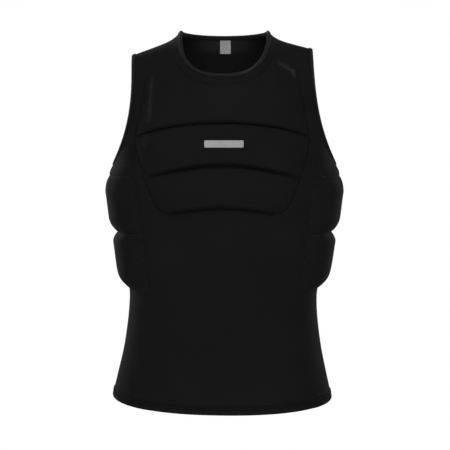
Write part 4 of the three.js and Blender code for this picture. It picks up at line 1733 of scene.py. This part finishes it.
@dataclass
class Vest:
    """The whole vest, made from its panels out."""

    wardrobe: Wardrobe
    panels: dict[Face, Panel] = field(default_factory=dict)
    pieces: list[bpy.types.Object] = field(default_factory=list)
    plate_gap: float = 0.05
    neck_tape_front: tuple[float, float] = (1.1, 0.6)
    neck_tape_back: tuple[float, float] = (1.85, 2.0)
    armhole_tape: float = 0.8
    top_row_drop: float = 1.6
    top_row_reach: float = 0.62
    groove_row_reach: float = 0.985
    foot_row_drop: float = 1.4
    foot_row_reach: float = 0.97
    side_row_out: float = 0.9
    binding_rows: tuple[float, float] = (-1.9, -0.5)
    hem_rows: tuple[float, float] = (1.4, 4.6)
    edge_row_drop: float = 8.0
    seam_stitch_width: float = 5.0

    def keep(self, piece: bpy.types.Object) -> None:
        """Keeps a finished piece and reports it."""
        self.pieces.append(piece)
        LOG.info("%s: %d faces", piece.name, len(piece.data.polygons))

    def build_panels(self) -> None:
        """Makes the front and back panels."""
        for face in Face:
            self.panels[face] = Panel(face)
            self.keep(self.panels[face].build(self.wardrobe))

    def build_pads(self) -> None:
        """Makes the chest, back and side pads."""
        sewer = PadSewer()
        for face in Face:
            for course in Course:
                section = PadSection(face, course)
                cover = section.grid(section.height)
                foot = section.grid(lambda x, z: np.full_like(x, PAD_FOOT))
                self.keep(sewer.sew(section.name, cover, foot, self.wardrobe))
        for side in Side:
            for course in SidePadCourse:
                pad = SidePad(side, course)
                self.keep(sewer.sew(pad.name, pad.grid(True), pad.grid(False), self.wardrobe))

    def neck_run(self) -> EdgeRun:
        """Gives the edge round the neck."""
        steps = self.panels[Face.FRONT].column_steps
        first = FORM.shoulder_columns * steps
        last = (FORM.columns - FORM.shoulder_columns) * steps
        front, back = self.panels[Face.FRONT], self.panels[Face.BACK]
        whole, inner = slice(first, last + 1), slice(first + 1, last)
        points = [back.grid[-1][whole][::-1], front.grid[-1][inner][::-1]]
        normals = [back.normals[-1][whole][::-1], front.normals[-1][inner][::-1]]
        return EdgeRun.around(np.concatenate(points), np.concatenate(normals))

    def neck_stretch(self, run: EdgeRun) -> Array:
        """Widens the neck's tape towards the shoulders and at the back."""
        x, y, z = run.points.T
        up = np.clip((z - FORM.neck_point_rise + FORM.front_neck_drop) / FORM.front_neck_drop, 0, 1)
        front = 1 + np.where(x < 0, *self.neck_tape_front) * up**1.5
        back = lerp(*self.neck_tape_back, np.clip(-x / FORM.neck_half_width, -1, 1))
        return np.where(y < 0, front, back)

    def armhole_stretch(self, run: EdgeRun) -> Array:
        """Widens an armhole's tape towards the shoulder."""
        up = np.clip((run.points[:, 2] + 120) / 100, 0, 1)
        return 1 + self.armhole_tape * up * up * (3 - 2 * up)

    def armhole_run(self, side: Side) -> EdgeRun:
        """Gives the edge round one armhole."""
        front, back = self.panels[Face.FRONT], self.panels[Face.BACK]
        index, other = (-1, 0) if side is Side.RIGHT else (0, -1)
        up, up_normals = front.column(index)
        down, down_normals = back.column(other)
        points = np.concatenate([up, down[1:-1][::-1]])
        normals = np.concatenate([up_normals, down_normals[1:-1][::-1]])
        if side is Side.LEFT:
            points, normals = points[::-1], normals[::-1]
        return EdgeRun.around(points, normals)

    def hem_run(self) -> EdgeRun:
        """Gives the lower edge of both panels, with the body above it."""
        front, back = self.panels[Face.FRONT], self.panels[Face.BACK]
        points = np.concatenate([front.grid[0], back.grid[0][1:-1]])
        normals = np.concatenate([front.normals[0], back.normals[0][1:-1]])
        return EdgeRun.around(points, normals, blend=2)

    def build_edges(self) -> None:
        """Makes the bindings and the hem band."""
        run = self.neck_run()
        # Painted highlight on the front of the neck tape, just right of the middle.
        lit = np.exp(-(((run.points[:, 0] - 38) / 20) ** 2)) * (run.points[:, 1] < 0) * 0.6
        wide = self.neck_stretch(run)
        neck = Binding("neck_binding", run, flat=(0.022, 0.44), stretch=wide, painted_light=lit)
        self.keep(neck.build(self.wardrobe))
        for side in Side:
            run = self.armhole_run(side)
            wide = self.armhole_stretch(run)
            name = f"armhole_binding_{side.word}"
            self.keep(Binding(name, run, flat=(0.0165, 0.48), stretch=wide).build(self.wardrobe))
        self.keep(HemBand(self.hem_run()).build(self.wardrobe))

    def build_plates(self, ground: BVHTree) -> None:
        """Makes the bare badge on the chest and the bare label in the back of the neck."""
        badge = Plate(
            "chest_badge", width=65.5, height=11.8, middle=(-0.9, -173.0), thickness=0.9,
            rim=1.0, rim_rise=0.15, columns=46, rows=10, corner=1.6, toward=-1,
        )
        self.keep(badge.build(ground, self.plate_gap, self.wardrobe.badge))
        label = Plate(
            "neck_label", width=19, height=25, middle=(1.6, 2.0), thickness=0.5,
            rim=1.1, rim_rise=0.1, columns=12, rows=14, corner=0.8, toward=1,
        )
        self.keep(label.build(ground, self.plate_gap, self.wardrobe.label))

    def face_path(self, face: Face, x: Array, z: Array) -> tuple[Array, Array]:
        """Gives a path on the outer form of one face, and the directions there."""
        points = FORM.face_point(face, x, z)
        return points, FORM.outward(face, points)

    def sew_pads(self, ground: BVHTree) -> None:
        """Sews the rows along the pads' outlines and grooves."""
        box = StitchBox(ground)
        t = np.linspace(-1, 1, 161)
        for face in Face:
            section = {course: PadSection(face, course) for course in Course}
            for course, pad in section.items():
                reach = self.top_row_reach if course is Course.UPPER else self.groove_row_reach
                x, z = pad.place(t * reach, np.ones_like(t))
                box.row(*self.face_path(face, x, z - self.top_row_drop))
            x, z = section[Course.LOWER].place(t * self.foot_row_reach, np.zeros_like(t))
            box.row(*self.face_path(face, x, z - self.foot_row_drop))
            up = np.clip(np.linspace(-0.02, 1.0, 60), 0, 1)
            for sign in (-1.0, 1.0):
                for pad in section.values():
                    x, z = pad.place(np.full_like(up, sign), up)
                    box.row(*self.face_path(face, x + face.run * sign * self.side_row_out, z))
        self.keep(box.build("pad_stitches", self.wardrobe.thread))
        box = StitchBox(ground, Stitch(length=1.6, pitch=3.8, radius=0.42, sunk=0.55))
        for side in Side:
            for course in SidePadCourse:
                foot = SidePad(side, course).grid(False)
                for path in (foot[:, 0], foot[:, -1], foot[-2]):
                    angle = np.arctan2(path[:, 0], -path[:, 1])
                    box.row(path, FORM.ring_outward(angle, path))
        self.keep(box.build("side_pad_stitches", self.wardrobe.grey_thread))

    def sew_edges(self, ground: BVHTree) -> None:
        """Sews the bindings, the hem and the panels' seams."""
        box = StitchBox(ground, Stitch(length=1.9, pitch=4.0, radius=0.42))
        neck = self.neck_run()
        runs = [(neck, self.neck_stretch(neck))]
        runs += [(run, self.armhole_stretch(run)) for run in map(self.armhole_run, Side)]
        for run, wide in runs:
            for reach in self.binding_rows:
                box.row(*run.loop(reach * wide[:, None]), reach=self.edge_row_drop)
        front, back = self.panels[Face.FRONT], self.panels[Face.BACK]
        pads_top = FORM.underarm_z - SidePadCourse.UPPER.value[0].drop
        pads_foot = FORM.underarm_z - SidePadCourse.LOWER.value[1].drop
        for index, side in ((0, -1), (-1, 1)):
            seam = front.grid[1 : front.body_rows - 1, index]
            below = seam[:, 2] < pads_foot - 1
            above = seam[:, 2] > pads_top + 1
            for part in (seam[below], seam[above]):
                out = np.tile([float(side), 0.0, 0.0], (len(part), 1))
                box.zigzag(part, out, self.seam_stitch_width)
        steps = front.column_steps * FORM.shoulder_columns
        for part in (slice(2, steps - 2), slice(-steps + 2, -2)):
            seam = front.grid[-1][part]
            out = unit(front.normals[-1][part] + back.normals[-1][::-1][part])
            box.zigzag(seam, out, self.seam_stitch_width)
        self.keep(box.build("edge_stitches", self.wardrobe.grey_thread))
        box = StitchBox(ground)
        hem = self.hem_run()
        for reach in self.hem_rows:
            box.row(*hem.loop(reach), reach=self.edge_row_drop)
        self.keep(box.build("hem_stitches", self.wardrobe.thread))

    def build(self) -> None:
        """Makes every piece of the vest."""
        self.build_panels()
        self.build_pads()
        ground = surface_tree(self.pieces)
        self.build_plates(ground)
        self.sew_pads(ground)
        self.build_edges()
        self.sew_edges(surface_tree([p for p in self.pieces if "stitches" not in p.name]))


@dataclass
class Studio:
    """The floor, lights, surroundings and camera."""

    floor_z: float = -1.2
    floor_radius: float = 2.2
    distance: float = 2.6
    elevation: float = 3.0
    aim: tuple[float, float, float] = (0.0009, 0.0, -0.315)
    lens: float = 118.15
    fill: float = 0.16

    def surroundings(self) -> None:
        """Surrounds the scene with plain white, dimmer where it lights the vest."""
        world = bpy.data.worlds.new("white_surroundings")
        world.use_nodes = True
        tree = world.node_tree
        background = tree.nodes["Background"]
        background.inputs["Color"].default_value = (1, 1, 1, 1)
        seen = tree.nodes.new("ShaderNodeLightPath")
        sky = tree.nodes.new("ShaderNodeTexCoord")
        parts = tree.nodes.new("ShaderNodeSeparateXYZ")
        height = tree.nodes.new("ShaderNodeMapRange")
        height.interpolation_type = "SMOOTHSTEP"
        height.inputs["From Min"].default_value = -0.6
        height.inputs["From Max"].default_value = 0.6
        height.inputs["To Min"].default_value = self.fill * 0.25
        height.inputs["To Max"].default_value = self.fill
        tree.links.new(sky.outputs["Generated"], parts.inputs["Vector"])
        tree.links.new(parts.outputs["Z"], height.inputs["Value"])
        level = tree.nodes.new("ShaderNodeMapRange")
        tree.links.new(height.outputs["Result"], level.inputs["To Min"])
        level.inputs["To Max"].default_value = 1.0
        tree.links.new(seen.outputs["Is Camera Ray"], level.inputs["Value"])
        tree.links.new(level.outputs["Result"], background.inputs["Strength"])
        bpy.context.scene.world = world

    def floor(self) -> None:
        """Lays a plain pale floor well below the vest."""
        bpy.ops.object.select_all(action="DESELECT")
        bpy.ops.mesh.primitive_circle_add(
            vertices=96, radius=self.floor_radius, fill_type="NGON", location=(0, 0, self.floor_z)
        )
        floor = bpy.context.active_object
        floor.name = "studio_floor"
        bench = NodeBench("studio_floor_paint")
        space = bench.mapped("Object", (1, 1, 1))
        tone = bench.spread(bench.noise(space, scale=3, detail=2), 0.4, 0.6)
        bench.join(bench.tint(tone, 0.8, 0.86), bench.shader.inputs["Base Color"])
        bench.shader_values(Roughness=0.9, Specular_IOR_Level=0.1)
        dress(floor, bench.material)

    def light(self, name: str, place: tuple[float, float, float], size: tuple[float, float],
              power: float, target: tuple[float, float, float]) -> None:
        """Hangs a soft rectangular light.

        Args:
            name: Name of the light.
            place: Where it hangs.
            size: Its width and height.
            power: Its power in watts.
            target: The point that it faces.
        """
        data = bpy.data.lights.new(name, "AREA")
        data.shape = "RECTANGLE"
        data.size, data.size_y = size
        data.energy = power
        lamp = bpy.data.objects.new(name, data)
        lamp.location = place
        facing = Vector(target) - Vector(place)
        lamp.rotation_euler = facing.to_track_quat("-Z", "Y").to_euler()
        bpy.context.scene.collection.objects.link(lamp)

    def lights(self) -> None:
        """Hangs the front and back softboxes and the two side strips."""
        middle = (0.0, 0.0, -0.3)
        self.light("front_softbox", (0, -2.3, 1.15), (2.6, 1.4), 38.5, middle)
        self.light("back_softbox", (-0.4, 1.75, 0.95), (1.3, 0.8), 16, middle)
        self.light("left_strip", (-1.3, 1.1, 0.1), (0.3, 0.8), 19, (-0.2, 0.0, -0.2))
        self.light("right_strip", (1.3, 1.1, 0.1), (0.3, 0.8), 13, (0.2, 0.0, -0.2))

    def camera(self) -> None:
        """Places the camera at the photograph's angle."""
        data = bpy.data.cameras.new("photograph_camera")
        data.lens = self.lens
        data.sensor_width = 36.0
        data.clip_end = 50
        camera = bpy.data.objects.new("photograph_camera", data)
        tilt = math.radians(self.elevation)
        aim = Vector(self.aim)
        camera.location = aim + Vector((0, -math.cos(tilt), math.sin(tilt))) * self.distance
        camera.rotation_euler = (aim - camera.location).to_track_quat("-Z", "Y").to_euler()
        bpy.context.scene.collection.objects.link(camera)
        bpy.context.scene.camera = camera

    def build(self) -> None:
        """Sets up the whole studio."""
        scene = bpy.context.scene
        scene.view_settings.view_transform = "Standard"
        scene.view_settings.look = "None"
        self.surroundings()
        self.floor()
        self.lights()
        self.camera()


def main() -> None:
    """Builds the studio and the vest."""
    logging.basicConfig(level=logging.INFO, format="%(name)s: %(message)s")
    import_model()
    Studio().build()
    vest = Vest(Wardrobe())
    vest.build()
    LOG.info("%d pieces made", len(vest.pieces))


if __name__ == "__main__":
    main()
